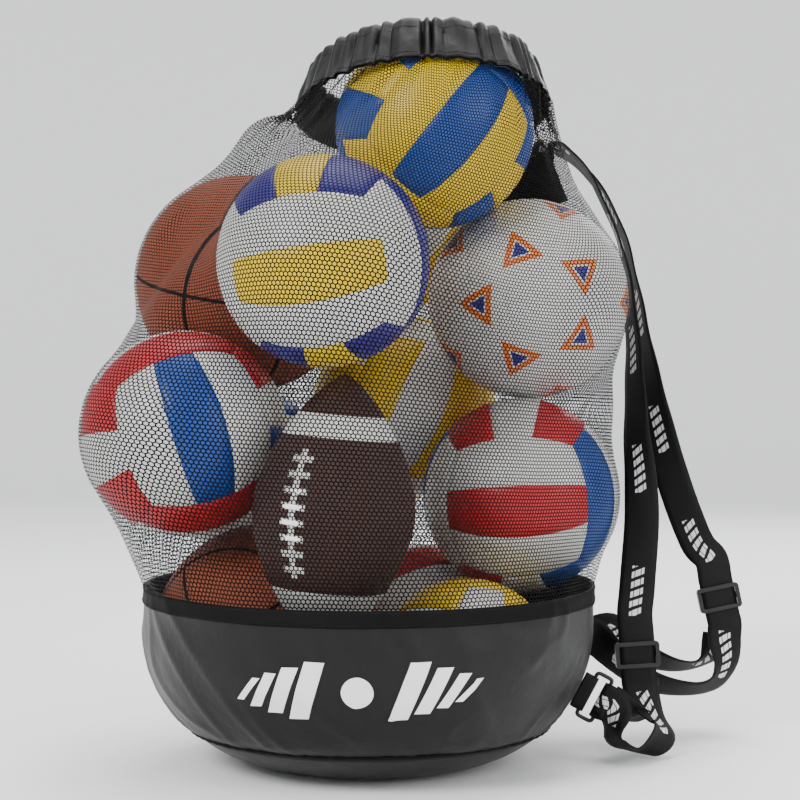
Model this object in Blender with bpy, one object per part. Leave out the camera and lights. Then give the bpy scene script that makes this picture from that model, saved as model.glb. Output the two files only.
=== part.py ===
"""A drawstring mesh ball bag, filled with balls, with two shoulder straps.

Metres, +Z up. The origin is the centre of the underside, on the axis of the round base.
The front of the bag faces -Y, and its straps hang at its right side, +X.
An azimuth is counted in degrees from the front, -Y, towards the right side, +X.
"""

import math

import bmesh
import bpy
import numpy as np
from mathutils import Matrix, Vector

# ---- Balls
VOLLEYBALL_DIAMETER = 0.210
SOCCER_DIAMETER = 0.218
BASKETBALL_DIAMETER = 0.238
SMALL_BALL_DIAMETER = 0.186
FOOTBALL_LENGTH = 0.272
FOOTBALL_WIDTH = 0.160
FOOTBALL_LEAN = 5.0  # degrees from upright, towards +X
BALL_GAP = 0.001  # between neighbouring balls

# ---- Lower skirt and base
SKIRT_RADIUS = 0.236
SKIRT_TOP = 0.187
CORNER_RADIUS = 0.145  # where the skirt turns in to the base
SEAM_ANGLE = 43.0  # degrees up the corner at which the base is sewn in
FABRIC = 0.002
PIPING_DIAMETER = 0.005
TAPE_WIDTH = 0.016
TOUCH_GAP = 0.0004  # between pieces that are sewn or laid together

# ---- Net body
NET_THICKNESS = 0.002
NET_CLEARANCE = 0.0055  # from a ball to the net that lies over it

# ---- Gathered casing round the mouth
MOUTH_RADIUS = 0.111
MOUTH_TILT = 17.0  # degrees that the mouth leans back
MOUTH_BACK = 0.030  # from the top ball's centre back to the mouth's centre
MOUTH_ABOVE_BALL = 0.050  # from the top ball's centre up to the mouth's centre
MOUTH_SAG = 0.034  # how far the loose side of the mouth hangs out
MOUTH_SAG_AZIMUTH = 238.0
CASING_HEIGHT = 0.052
CASING_FABRIC = 0.0012
CASING_TAPER = 0.020  # how much narrower the casing is at its top edge
CASING_SLIT = 13.0  # degrees of the casing left open at the back for the drawcord
CORD_DIAMETER = 0.005
CORD_ROOM = 0.0012  # round the drawcord inside the casing

# ---- Cord lock
LOCK_DIAMETER = 0.020
LOCK_HEIGHT = 0.026
LOCK_WALL = 0.0022
LOCK_TRAVEL = 0.005
LOCK_CLEARANCE = 0.0006
LOCK_STAND_OFF = 0.021  # from the casing to the lock's centre
CORD_TAIL = 0.030  # drawcord beyond the lock

# ---- Shoulder straps
WEBBING_WIDTH = 0.038
WEBBING_THICKNESS = 0.0016
STRAP_GAP = 0.0006  # between the webbing and the hardware it runs through
SLIDER_LENGTH = 0.028
SLIDER_SIDE_BAR = 0.0042
SLIDER_END_BAR = 0.0045
SLIDER_CENTRE_BAR = 0.0065
SLIDER_THICKNESS = 0.0072
RING_BAR = 0.005
RING_OPENING = 0.013
RING_CORNER = 0.0035
RING_WRAP_GAP = 0.0022  # between the ring and the webbing turned round it
TAB_LENGTH = 0.016
PATCH_AZIMUTHS = (112.5, 157.5)
SEWN_GAP = 0.005  # lets the flat webbing clear the curved patch
PATCH_ROWS = (12, 14)  # rows of the net's surface that the patch covers

WEBBING_STEP = 0.020  # between stations along a strap
COLUMNS = 48  # facets round the bag
NET_ROWS = 15
SETTLE_STEPS = 500
DRAPE_STEPS = 260

# ---- Where each ball rests before the load settles: kind, x, y, height of its centre
BALL_LAYOUT = {
    "basketball_lower": ("basketball", -0.098, -0.006, 0.126),
    "small_ball_right": ("small", 0.098, -0.062, 0.104),
    "small_ball_lower": ("small", 0.062, 0.118, 0.122),
    "volleyball_left": ("volleyball", -0.186, -0.065, 0.353),
    "american_football": ("football", -0.036, -0.148, 0.272),
    "volleyball_right": ("volleyball", 0.156, 0.046, 0.276),
    "volleyball_middle": ("volleyball", 0.028, 0.172, 0.366),
    "small_ball_left": ("small", -0.126, 0.136, 0.304),
    "basketball_upper": ("basketball", -0.129, 0.085, 0.505),
    "volleyball_front": ("volleyball", -0.043, -0.140, 0.517),
    "soccer_ball_front": ("soccer", 0.166, 0.072, 0.486),
    "small_ball_back": ("small", 0.005, 0.205, 0.560),
    "volleyball_top": ("volleyball", 0.070, 0.006, 0.664),
}

# ---- Straps: where each runs, and which way the width of its webbing faces
STRAPS = {
    1: {
        "sewn_azimuth": 125.0,
        "ring_azimuth": 84.0,
        "ring_height": 0.078,
        "slider": (0.287, 0.022, 0.106),
        "slider_along": (-0.06, 0.08, 1.0),
        "slider_across": (1.0, 0.02, -0.06),
        "upper": (
            ((0.196, 0.126, 0.666), (0.55, -0.80, -0.10)),
            ((0.220, 0.140, 0.660), (0.40, -0.88, -0.25)),
            ((0.246, 0.144, 0.632), (0.20, -0.93, -0.30)),
            ((0.268, 0.138, 0.585), (0.05, -0.98, -0.20)),
            ((0.285, 0.125, 0.529), (0.05, -0.99, -0.12)),
            ((0.291, 0.100, 0.439), (0.30, -0.95, -0.05)),
            ((0.292, 0.077, 0.346), (0.60, -0.80, 0.00)),
            ((0.295, 0.052, 0.262), (0.92, -0.40, 0.00)),
            ((0.288, 0.034, 0.180), (1.00, -0.10, 0.00)),
        ),
        "lower": (
            ((0.291, 0.016, 0.066), (0.98, 0.20, 0.05)),
            ((0.303, 0.008, 0.043), (0.70, 0.70, -0.15)),
            ((0.311, -0.006, 0.030), (0.70, 0.60, -0.40)),
            ((0.299, -0.020, 0.020), (0.55, 0.70, -0.45)),
            ((0.276, -0.026, 0.014), (0.10, 0.95, -0.25)),
            ((0.256, -0.030, 0.026), (-0.10, 0.80, -0.60)),
        ),
        "back": (
            ((0.256, -0.012, 0.060), (-0.28, 0.15, -0.94)),
            ((0.272, 0.004, 0.046), (-0.25, 0.60, -0.75)),
            ((0.290, 0.022, 0.041), (-0.10, 0.95, -0.25)),
            ((0.298, 0.034, 0.052), (0.60, 0.80, -0.10)),
            ((0.294, 0.034, 0.074), (0.97, 0.22, -0.05)),
        ),
    },
    2: {
        "sewn_azimuth": 146.0,
        "ring_azimuth": 116.0,
        "ring_height": 0.120,
        "slider": (0.391, 0.120, 0.155),
        "slider_along": (-0.20, 0.08, 0.975),
        "slider_across": (0.975, 0.05, 0.20),
        "upper": (
            ((0.164, 0.170, 0.660), (0.75, -0.65, -0.05)),
            ((0.198, 0.192, 0.668), (0.60, -0.78, -0.15)),
            ((0.246, 0.193, 0.642), (0.30, -0.93, -0.20)),
            ((0.284, 0.182, 0.580), (0.10, -0.98, -0.15)),
            ((0.301, 0.170, 0.513), (0.10, -0.98, -0.10)),
            ((0.311, 0.160, 0.440), (0.35, -0.93, 0.00)),
            ((0.322, 0.152, 0.367), (0.75, -0.65, 0.10)),
            ((0.341, 0.142, 0.290), (0.95, -0.25, 0.20)),
            ((0.366, 0.132, 0.220), (0.96, -0.05, 0.25)),
        ),
        "lower": (
            ((0.396, 0.114, 0.112), (0.99, 0.10, -0.02)),
            ((0.398, 0.112, 0.084), (0.80, 0.60, -0.10)),
            ((0.386, 0.112, 0.062), (0.45, 0.80, -0.35)),
            ((0.358, 0.110, 0.054), (0.10, 0.85, -0.50)),
            ((0.322, 0.106, 0.060), (-0.05, 0.75, -0.66)),
            ((0.284, 0.102, 0.080), (-0.20, 0.60, -0.77)),
        ),
        "back": (
            ((0.268, 0.132, 0.118), (-0.15, 0.20, -0.96)),
            ((0.286, 0.146, 0.100), (-0.15, 0.50, -0.85)),
            ((0.324, 0.152, 0.080), (-0.05, 0.75, -0.66)),
            ((0.360, 0.150, 0.074), (0.15, 0.90, -0.40)),
            ((0.384, 0.142, 0.084), (0.70, 0.70, -0.10)),
            ((0.393, 0.134, 0.112), (0.98, 0.15, -0.02)),
        ),
    },
}

RADIUS = {
    "volleyball": VOLLEYBALL_DIAMETER / 2,
    "soccer": SOCCER_DIAMETER / 2,
    "basketball": BASKETBALL_DIAMETER / 2,
    "small": SMALL_BALL_DIAMETER / 2,
}


# ---- Scene and materials


def clear_scene():
    for obj in list(bpy.data.objects):
        bpy.data.objects.remove(obj, do_unlink=True)


def material(name, color, roughness, metallic=0.0):
    made = bpy.data.materials.new(name)
    made.use_nodes = True
    shader = made.node_tree.nodes["Principled BSDF"]
    shader.inputs["Base Color"].default_value = (*color, 1.0)
    shader.inputs["Roughness"].default_value = roughness
    shader.inputs["Metallic"].default_value = metallic
    made.diffuse_color = (*color, 1.0)
    return made


def finish(obj, look):
    bpy.context.scene.collection.objects.link(obj)
    obj.data.materials.append(look)
    return obj


def smooth(mesh, angle=40.0):
    mesh.shade_smooth()
    mesh.set_sharp_from_angle(angle=math.radians(angle))


def mesh_object(name, bm, look, angle=40.0):
    bmesh.ops.recalc_face_normals(bm, faces=bm.faces)
    mesh = bpy.data.meshes.new(name)
    bm.to_mesh(mesh)
    bm.free()
    smooth(mesh, angle)
    return finish(bpy.data.objects.new(name, mesh), look)


# ---- The load of balls


def football_radius(along):
    """Radius of the football at a distance along its axis from its middle."""
    share = min(1.0, abs(along) / (FOOTBALL_LENGTH / 2))
    return FOOTBALL_WIDTH / 2 * (1 - share**1.75) ** 0.80


def football_axis():
    lean = math.radians(FOOTBALL_LEAN)
    return np.array((math.sin(lean), 0.0, math.cos(lean)))


def parts_of(kind):
    """The spheres that stand for a ball while the load settles: offset, radius."""
    if kind != "football":
        return [(np.zeros(3), RADIUS[kind])]
    steps = np.linspace(-0.42, 0.42, 9) * FOOTBALL_LENGTH
    return [(football_axis() * s, football_radius(s) + BALL_GAP) for s in steps]


def held_in(centre, radius):
    """The nearest place for a sphere inside the skirt and above the base."""
    inner = SKIRT_RADIUS - FABRIC
    floor = FABRIC + BALL_GAP
    middle = SKIRT_RADIUS - CORNER_RADIUS
    corner_height = floor + inner - middle
    x, y, z = centre
    z = max(z, floor + radius)
    above = max(0.0, z - SKIRT_TOP)
    widest = math.sqrt(max(0.0, (radius + NET_CLEARANCE) ** 2 - above**2))
    out = math.hypot(x, y)
    held = min(out, inner - widest) if widest else out
    arm = math.hypot(held - middle, z - corner_height)
    room = inner - middle - radius
    if z < corner_height and held > middle and arm > room:
        held = middle + (held - middle) * max(room, 0.0) / arm
        z = corner_height + (z - corner_height) * max(room, 0.0) / arm
    turn = held / out if out > 0 else 1.0
    return np.array((x * turn, y * turn, z))


def settle():
    """Ball centres after overlapping balls have been pushed apart inside the skirt."""
    names = list(BALL_LAYOUT)
    places = {name: np.array(BALL_LAYOUT[name][1:]) for name in names}
    spheres = {name: parts_of(BALL_LAYOUT[name][0]) for name in names}
    for _ in range(SETTLE_STEPS):
        for at, first in enumerate(names):
            for second in names[at + 1 :]:
                push_apart(places, spheres, first, second)
        for name in names:
            for offset, radius in spheres[name]:
                centre = places[name] + offset
                places[name] = places[name] + held_in(centre, radius) - centre
    return places


def push_apart(places, spheres, first, second):
    for offset_a, radius_a in spheres[first]:
        for offset_b, radius_b in spheres[second]:
            between = places[second] + offset_b - places[first] - offset_a
            apart = np.linalg.norm(between)
            lacking = radius_a + radius_b + BALL_GAP - apart
            if lacking > 0:
                move = between / apart * lacking / 2
                places[first] = places[first] - move
                places[second] = places[second] + move


def make_balls(places, looks):
    for name, place in places.items():
        kind = BALL_LAYOUT[name][0]
        bm = bmesh.new()
        if kind == "football":
            shape_football(bm)
        else:
            bmesh.ops.create_icosphere(bm, subdivisions=3, radius=RADIUS[kind])
        ball = mesh_object(name, bm, looks[kind], 60.0)
        ball.location = place
        if kind == "football":
            ball.rotation_euler = (0.0, math.radians(FOOTBALL_LEAN), 0.0)


def shape_football(bm):
    """A spindle along Z with its two ends drawn in."""
    bmesh.ops.create_uvsphere(bm, u_segments=18, v_segments=14, radius=1.0)
    for vert in bm.verts:
        along = vert.co.z * FOOTBALL_LENGTH / 2
        out = math.hypot(vert.co.x, vert.co.y)
        scale = football_radius(along) / out if out > 1e-6 else 0.0
        vert.co = (vert.co.x * scale, vert.co.y * scale, along)


# ---- Surfaces of revolution: base, skirt, piping and tape


def outward(azimuth):
    turn = math.radians(azimuth)
    return np.array((math.sin(turn), -math.cos(turn), 0.0))


def corner_point(angle):
    """Radius and height on the rounded corner, from 0 at the floor to 90 at the wall."""
    turn = math.radians(angle)
    middle = SKIRT_RADIUS - CORNER_RADIUS
    return (
        middle + CORNER_RADIUS * math.sin(turn),
        CORNER_RADIUS * (1 - math.cos(turn)),
    )


def corner_angle_at(height):
    return math.degrees(math.acos(max(0.0, 1 - height / CORNER_RADIUS)))


def turned_wall(name, profile, start, end, look):
    """A wall of fabric thickness turned about Z from one azimuth to another.
    The profile is the outer face, and the wall grows inwards."""
    whole = end - start == 360
    steps = COLUMNS if whole else COLUMNS // 2
    bm = bmesh.new()
    verts = [bm.verts.new(tuple(outward(start) * out + (0, 0, z))) for out, z in profile]
    edges = [bm.edges.new(pair) for pair in zip(verts, verts[1:])]
    bmesh.ops.spin(
        bm,
        geom=verts + edges,
        cent=(0, 0, 0),
        axis=(0, 0, 1),
        angle=math.radians(end - start),
        steps=steps,
        use_merge=whole,
    )
    bmesh.ops.remove_doubles(bm, verts=bm.verts, dist=1e-6)
    wall = mesh_object(name, bm, look)
    point_outwards(wall.data)
    add_thickness(wall, FABRIC, -1.0)
    return wall


def point_outwards(mesh):
    """Turns the faces of an open shell away from the bag's axis, or down where it is flat."""
    score = 0.0
    for face in mesh.polygons:
        away = Vector((face.center.x, face.center.y, face.center.z - SKIRT_TOP))
        score += face.area * face.normal.dot(away)
    if score < 0:
        mesh.flip_normals()


def add_thickness(obj, thickness, offset):
    solid = obj.modifiers.new("Thickness", "SOLIDIFY")
    solid.thickness = thickness
    solid.offset = offset


def make_bottom(looks):
    gap_angle = math.degrees((PIPING_DIAMETER / 2 + TOUCH_GAP) / CORNER_RADIUS)
    base_angles = np.linspace(0, SEAM_ANGLE - gap_angle, 5)
    base = [(0.0, 0.0)] + [corner_point(a) for a in base_angles]
    turned_wall("base_panel", base, 0, 360, looks["skirt"])

    rise = np.linspace(SEAM_ANGLE + gap_angle, 90, 6)
    wall = [corner_point(a) for a in rise]
    wall += [(SKIRT_RADIUS, z) for z in np.linspace(CORNER_RADIUS, SKIRT_TOP, 3)[1:]]
    seam = math.degrees(TOUCH_GAP / SKIRT_RADIUS)
    turned_wall("skirt_front", wall, -90 + seam, 90 - seam, looks["skirt"])
    turned_wall("skirt_back", wall, 90 + seam, 270 - seam, looks["skirt"])

    out, height = corner_point(SEAM_ANGLE)
    bm = bmesh.new()
    inward = FABRIC / 2
    turn = math.radians(SEAM_ANGLE)
    centre = Vector((out - inward * math.sin(turn), 0, height + inward * math.cos(turn)))
    bmesh.ops.create_circle(bm, segments=8, radius=PIPING_DIAMETER / 2)
    bmesh.ops.rotate(bm, verts=bm.verts, cent=(0, 0, 0), matrix=Matrix.Rotation(math.pi / 2, 3, "X"))
    bmesh.ops.translate(bm, verts=bm.verts, vec=centre)
    ring = bm.verts[:] + bm.edges[:]
    bmesh.ops.spin(
        bm,
        geom=ring,
        cent=(0, 0, 0),
        axis=(0, 0, 1),
        angle=math.tau,
        steps=COLUMNS,
        use_merge=True,
    )
    bmesh.ops.remove_doubles(bm, verts=bm.verts, dist=1e-6)
    mesh_object("base_piping", bm, looks["binding"], 60.0)

    tape_out = SKIRT_RADIUS + FABRIC + TOUCH_GAP
    tape = [(tape_out, SKIRT_TOP - TAPE_WIDTH * share) for share in (0.75, 0.0)]
    turned_wall("skirt_top_tape", tape, 0, 360, looks["binding"])


# ---- The draped net


def mouth_frame(top_ball):
    """Centre of the mouth, the way it faces, and its front-to-back direction."""
    tilt = math.radians(MOUTH_TILT)
    centre = top_ball + np.array((0, MOUTH_BACK, MOUTH_ABOVE_BALL))
    facing = np.array((0, math.sin(tilt), math.cos(tilt)))
    backward = np.array((0, math.cos(tilt), -math.sin(tilt)))
    return centre, facing, backward


def mouth_point(top_ball, azimuth, height):
    """A point on the casing, at a height from its lower edge, 0, to its top edge, 1."""
    centre, facing, backward = mouth_frame(top_ball)
    off = math.radians(azimuth - MOUTH_SAG_AZIMUTH)
    sag = MOUTH_SAG * math.exp(2.2 * (math.cos(off) - 1))
    out = MOUTH_RADIUS + sag + CASING_TAPER * (0.5 - height)
    turn = math.radians(azimuth)
    along = np.array((math.sin(turn), 0, 0)) - backward * math.cos(turn)
    return centre + along * out + facing * CASING_HEIGHT * (height - 0.5)


def drape(places):
    """The middle surface of the net: rows from the skirt up to the casing, columns round the bag."""
    turns = np.arange(COLUMNS) * 360 / COLUMNS
    start = SKIRT_TOP + TOUCH_GAP + NET_THICKNESS / 2
    edge = SKIRT_RADIUS - FABRIC / 2
    bottom = np.array([outward(a) * edge + (0, 0, start) for a in turns])
    top_ball = places["volleyball_top"]
    top = np.array([mouth_point(top_ball, a, 0.0) for a in turns])
    share = np.linspace(0, 1, NET_ROWS + 1)[:, None, None]
    rows = bottom * (1 - share) + top * share
    bulge = np.array([outward(a) for a in turns]) * 0.16
    rows = rows + bulge * np.sin(np.pi * share) ** 0.6
    spheres = obstacles(places)
    core = (np.array((0, 0, SKIRT_TOP)), top_ball - (0, 0, VOLLEYBALL_DIAMETER))
    for _ in range(DRAPE_STEPS):
        beside = (np.roll(rows, 1, axis=1) + np.roll(rows, -1, axis=1)) / 2
        above = (rows[2:] + rows[:-2]) / 2
        rows[1:-1] = rows[1:-1] * 0.4 + beside[1:-1] * 0.25 + above * 0.35
        rows[1:-1] = push_out(rows[1:-1], spheres, core)
        rows[1:-1, :, 2] = np.maximum(rows[1:-1, :, 2], start + NET_THICKNESS)
    return rows


def obstacles(places):
    """Every ball as spheres, grown by the clearance that the net keeps from it."""
    found = []
    for name, place in places.items():
        for offset, radius in parts_of(BALL_LAYOUT[name][0]):
            found.append((place + offset, radius + NET_CLEARANCE + NET_THICKNESS / 2))
    return found


def push_out(points, spheres, core):
    """Moves points inside a sphere outwards, away from the load's core, a line between two points."""
    low, high = core
    line = high - low
    share = (((points - low) * line).sum(axis=-1, keepdims=True) / (line @ line)).clip(0, 1)
    outwards = points - low - share * line
    outwards /= np.linalg.norm(outwards, axis=-1, keepdims=True)
    for centre, radius in spheres:
        away = points - centre
        inside = (away * away).sum(axis=-1, keepdims=True) - radius**2
        along = (away * outwards).sum(axis=-1, keepdims=True)
        step = np.sqrt(np.maximum(0, along**2 - inside)) - along
        points = np.where(inside < 0, points + outwards * step, points)
    return points


def grid_object(name, points, look, around=False, angle=60.0):
    """A sheet through rows and columns of points. With around, its last column meets its first."""
    if around:
        points = np.concatenate([points, points[:, :1]], axis=1)
    rows, columns = points.shape[:2]
    bm = bmesh.new()
    bmesh.ops.create_grid(bm, x_segments=columns - 1, y_segments=rows - 1, size=1.0)
    bm.verts.ensure_lookup_table()
    for vert in bm.verts:
        column = round((vert.co.x + 1) / 2 * (columns - 1))
        row = round((vert.co.y + 1) / 2 * (rows - 1))
        vert.co = points[row, column]
    if around:
        bmesh.ops.remove_doubles(bm, verts=bm.verts, dist=1e-6)
    mesh = bpy.data.meshes.new(name)
    bm.to_mesh(mesh)
    bm.free()
    smooth(mesh, angle)
    return finish(bpy.data.objects.new(name, mesh), look)


def make_net(surface, looks):
    half = COLUMNS // 2
    quarter = COLUMNS // 4
    turned = np.roll(surface, quarter, axis=1)
    turned = np.concatenate([turned, turned[:, :1]], axis=1)
    for name, first in (("net_front", 0), ("net_back", half)):
        piece = turned[:, first : first + half + 1].copy()
        for edge, inner in ((0, 1), (-1, -2)):
            inward = piece[:, inner] - piece[:, edge]
            length = np.linalg.norm(inward, axis=1, keepdims=True)
            piece[:, edge] += inward / length * TOUCH_GAP
        net = grid_object(name, piece, looks["net"])
        add_thickness(net, NET_THICKNESS, 0.0)


# ---- Casing, drawcord and cord lock


def casing_section():
    """The folded casing seen end-on: height share, and distance out from its middle."""
    room = CORD_DIAMETER / 2 + CORD_ROOM + CASING_FABRIC / 2
    rise = room / CASING_HEIGHT
    section = [(0.06, 0.0016), (1 - 3 * rise, room), (1 - rise, room)]
    fold = [(1 - rise + rise * math.sin(a), room * math.cos(a)) for a in np.linspace(0.8, 2.34, 3)]
    section += fold
    section += [(1 - rise, -room), (1 - 3 * rise, -room), (0.06, -0.0016)]
    return section


def casing_place(top_ball, azimuth, height, off):
    low = mouth_point(top_ball, azimuth, 0.0)
    high = mouth_point(top_ball, azimuth, 1.0)
    near = mouth_point(top_ball, azimuth + 1, 0.5) - mouth_point(top_ball, azimuth - 1, 0.5)
    rise = (high - low) / np.linalg.norm(high - low)
    normal = np.cross(near, rise)
    normal /= np.linalg.norm(normal)
    return low + (high - low) * height + normal * off


def make_casing(top_ball, looks):
    turns = np.linspace(180 + CASING_SLIT / 2, 540 - CASING_SLIT / 2, COLUMNS - 5)
    section = casing_section()
    points = np.array([[casing_place(top_ball, a, h, off) for a in turns] for h, off in section])
    casing = grid_object("mouth_casing", points, looks["skirt"])
    add_thickness(casing, CASING_FABRIC, 0.0)


def cord_height():
    room = CORD_DIAMETER / 2 + CORD_ROOM + CASING_FABRIC / 2
    return 1 - 1.6 * room / CASING_HEIGHT


def lock_frame(top_ball):
    """Centre of the cord lock, the way the cord runs through it, and up."""
    start = casing_place(top_ball, 180, cord_height(), 0.0)
    _, facing, backward = mouth_frame(top_ball)
    return start + backward * LOCK_STAND_OFF, backward, facing


def make_drawcord(top_ball, looks):
    lock, backward, _ = lock_frame(top_ball)
    apart = np.array((CORD_DIAMETER / 2 + TOUCH_GAP, 0, 0))
    inside = [
        casing_place(top_ball, a, cord_height(), 0.0)
        for a in np.linspace(180 + CASING_SLIT / 3, 540 - CASING_SLIT / 3, COLUMNS - 6)
    ]
    leaving = [lock + backward * s for s in (CORD_TAIL, 0.0, -LOCK_DIAMETER / 2)]
    first = [p + apart for p in leaving]
    last = [p - apart for p in reversed(leaving)]
    route = smooth_path(first + inside[::-1] + last, LOCK_STAND_OFF / 2)
    cord_object("drawcord", route, CORD_DIAMETER / 2, looks["cord"])
    knot = bmesh.new()
    bmesh.ops.create_icosphere(knot, subdivisions=2, radius=CORD_DIAMETER)
    bmesh.ops.scale(knot, vec=(1.5, 0.9, 1.0), verts=knot.verts)
    end = mesh_object("cord_knot", knot, looks["cord"], 60.0)
    end.location = lock + backward * (CORD_TAIL + CORD_DIAMETER + TOUCH_GAP)


def cord_object(name, points, radius, look, closed=False, resolution=2):
    curve = bpy.data.curves.new(name, "CURVE")
    curve.dimensions = "3D"
    curve.bevel_depth = radius
    curve.bevel_resolution = resolution
    curve.use_fill_caps = not closed
    spline = curve.splines.new("POLY")
    spline.points.add(len(points) - 1)
    for point, place in zip(spline.points, points):
        point.co = (*place, 1.0)
    spline.use_cyclic_u = closed
    return finish(bpy.data.objects.new(name, curve), look)


def lathe(bm, profile, segments):
    """Turns a profile of radius and height about Z into bm."""
    verts = [bm.verts.new((out, 0, z)) for out, z in profile]
    edges = [bm.edges.new(pair) for pair in zip(verts, verts[1:])]
    bmesh.ops.spin(
        bm,
        geom=verts + edges,
        cent=(0, 0, 0),
        axis=(0, 0, 1),
        angle=math.tau,
        steps=segments,
        use_merge=True,
    )
    bmesh.ops.remove_doubles(bm, verts=bm.verts, dist=1e-6)


def box_cutter(name, size, at, frame=None):
    bm = bmesh.new()
    bmesh.ops.create_cube(bm, size=1.0)
    bmesh.ops.scale(bm, vec=size, verts=bm.verts)
    bmesh.ops.translate(bm, vec=at, verts=bm.verts)
    mesh = bpy.data.meshes.new(name)
    bm.to_mesh(mesh)
    bm.free()
    cutter = bpy.data.objects.new(name, mesh)
    bpy.context.scene.collection.objects.link(cutter)
    if frame is not None:
        cutter.matrix_world = frame
    cutter.hide_render = True
    cutter.display_type = "WIRE"
    return cutter


def cut(obj, cutter):
    boolean = obj.modifiers.new(cutter.name, "BOOLEAN")
    boolean.operation = "DIFFERENCE"
    boolean.object = cutter


def frame_matrix(centre, across, along):
    """World matrix with X across, Z along and Y completing it."""
    z = Vector(along).normalized()
    x = (Vector(across) - z * Vector(across).dot(z)).normalized()
    y = z.cross(x)
    turned = Matrix((x, y, z)).transposed().to_4x4()
    return Matrix.Translation(Vector(centre)) @ turned


def make_cord_lock(top_ball, looks):
    """A sprung barrel lock: Z is the button's axis, and the cord runs through along Y."""
    centre, backward, facing = lock_frame(top_ball)
    frame = frame_matrix(centre, np.cross(backward, facing), facing)
    half = LOCK_HEIGHT / 2
    out = LOCK_DIAMETER / 2
    bore = out - LOCK_WALL
    floor = -half + LOCK_WALL
    slot = (2 * CORD_DIAMETER + 0.003, LOCK_DIAMETER * 2, CORD_DIAMETER + 0.002)

    bm = bmesh.new()
    lathe(bm, ((0, -half), (out, -half), (out, half), (bore, half), (bore, floor), (0, floor)), 20)
    body = mesh_object("cord_lock_body", bm, looks["plastic"])
    body.matrix_world = frame
    cut(body, box_cutter("body_cord_way", slot, (0, 0, 0), frame))

    stem = bore - LOCK_CLEARANCE
    low = -half * 0.42
    rise = half + LOCK_TRAVEL
    bm = bmesh.new()
    lathe(bm, ((0, low), (stem, low), (stem, rise - 0.001), (stem - 0.001, rise), (0, rise)), 20)
    button = mesh_object("cord_lock_button", bm, looks["plastic"])
    button.matrix_world = frame
    tall = (slot[0], slot[1], slot[2] + LOCK_TRAVEL)
    cut(button, box_cutter("button_cord_way", tall, (0, 0, LOCK_TRAVEL / 2), frame))

    turns = 3
    coil = bore * 0.55
    bottom = floor + 0.0012
    top = low - 0.0012
    points = []
    for step in range(turns * 10 + 1):
        turn = math.tau * step / 10
        height = bottom + (top - bottom) * step / (turns * 10)
        points.append(frame @ Vector((coil * math.cos(turn), coil * math.sin(turn), height)))
    cord_object("cord_lock_spring", points, 0.0005, looks["steel"], resolution=1)


# ---- Straps, sliders and rings


def smooth_path(points, step):
    """Points on a Catmull-Rom curve through the given ones, about a step apart or closer."""
    points = np.array(points, float)
    ends = np.concatenate([points[:1] * 2 - points[1:2], points, points[-1:] * 2 - points[-2:-1]])
    path = []
    for a, b, c, d in zip(ends, ends[1:], ends[2:], ends[3:]):
        count = max(1, math.ceil(np.linalg.norm((c - b)[:3]) / step))
        for t in np.arange(count) / count:
            bend = (2 * a - 5 * b + 4 * c - d) * t**2 + (3 * b - 3 * c + d - a) * t**3
            path.append((2 * b + (c - a) * t + bend) / 2)
    path.append(points[-1])
    return np.array(path)


def webbing(name, stations, look):
    """A flat strap through (centre, width direction) stations, as one closed body."""
    path = smooth_path([(*centre, *across) for centre, across in stations], WEBBING_STEP)
    centres = path[:, :3]
    ahead = np.diff(centres, axis=0)
    ahead /= np.linalg.norm(ahead, axis=1, keepdims=True)
    along = np.concatenate([ahead[:1], ahead[1:] + ahead[:-1], ahead[-1:]])
    along /= np.linalg.norm(along, axis=1, keepdims=True)
    across = path[:, 3:]
    across = across - along * (across * along).sum(axis=1, keepdims=True)
    across /= np.linalg.norm(across, axis=1, keepdims=True)
    left = centres - across * WEBBING_WIDTH / 2
    right = centres + across * WEBBING_WIDTH / 2
    strap = grid_object(name, np.stack([left, right]), look)
    add_thickness(strap, WEBBING_THICKNESS, 0.0)


def ring_frame(strap):
    """Centre of the ring, outward direction, the ring's long direction, and sideways."""
    azimuth = strap["ring_azimuth"]
    angle = corner_angle_at(strap["ring_height"])
    out, height = corner_point(angle)
    radial = outward(azimuth)
    turn = math.radians(angle)
    normal = radial * math.sin(turn) - np.array((0, 0, math.cos(turn)))
    surface = radial * out + np.array((0, 0, height))
    centre = surface + normal * (TAB_LENGTH + RING_OPENING / 2 - RING_BAR / 2)
    down = radial * -math.cos(turn) - np.array((0, 0, math.sin(turn)))
    side = np.cross(normal, down)
    return surface, centre, normal, down, side


def make_ring(number, strap, looks):
    _, centre, normal, down, _ = ring_frame(strap)
    long_half = WEBBING_WIDTH / 2 + RING_BAR / 2 + RING_CORNER
    short_half = RING_OPENING / 2 + RING_BAR / 2
    corner = RING_CORNER
    points = []
    for quarter in range(4):
        sign_u = (1, -1, -1, 1)[quarter]
        sign_v = (1, 1, -1, -1)[quarter]
        middle = centre + down * sign_u * (long_half - corner) + normal * sign_v * (short_half - corner)
        for step in range(4):
            turn = math.radians(90 * quarter + 30 * step)
            points.append(middle + (down * math.cos(turn) + normal * math.sin(turn)) * corner)
    cord_object(f"strap_ring_{number}", points, RING_BAR / 2, looks["plastic"], closed=True)


def turn_round(bar, outwards, side, gap):
    """Centres of webbing turned round a bar: from one side, over its far side, and back."""
    radius = RING_BAR / 2 + gap + WEBBING_THICKNESS / 2
    points = []
    for turn in np.linspace(-math.pi / 2, math.pi / 2, 7):
        points.append(bar + outwards * radius * math.cos(turn) + side * radius * math.sin(turn))
    return points


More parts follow.
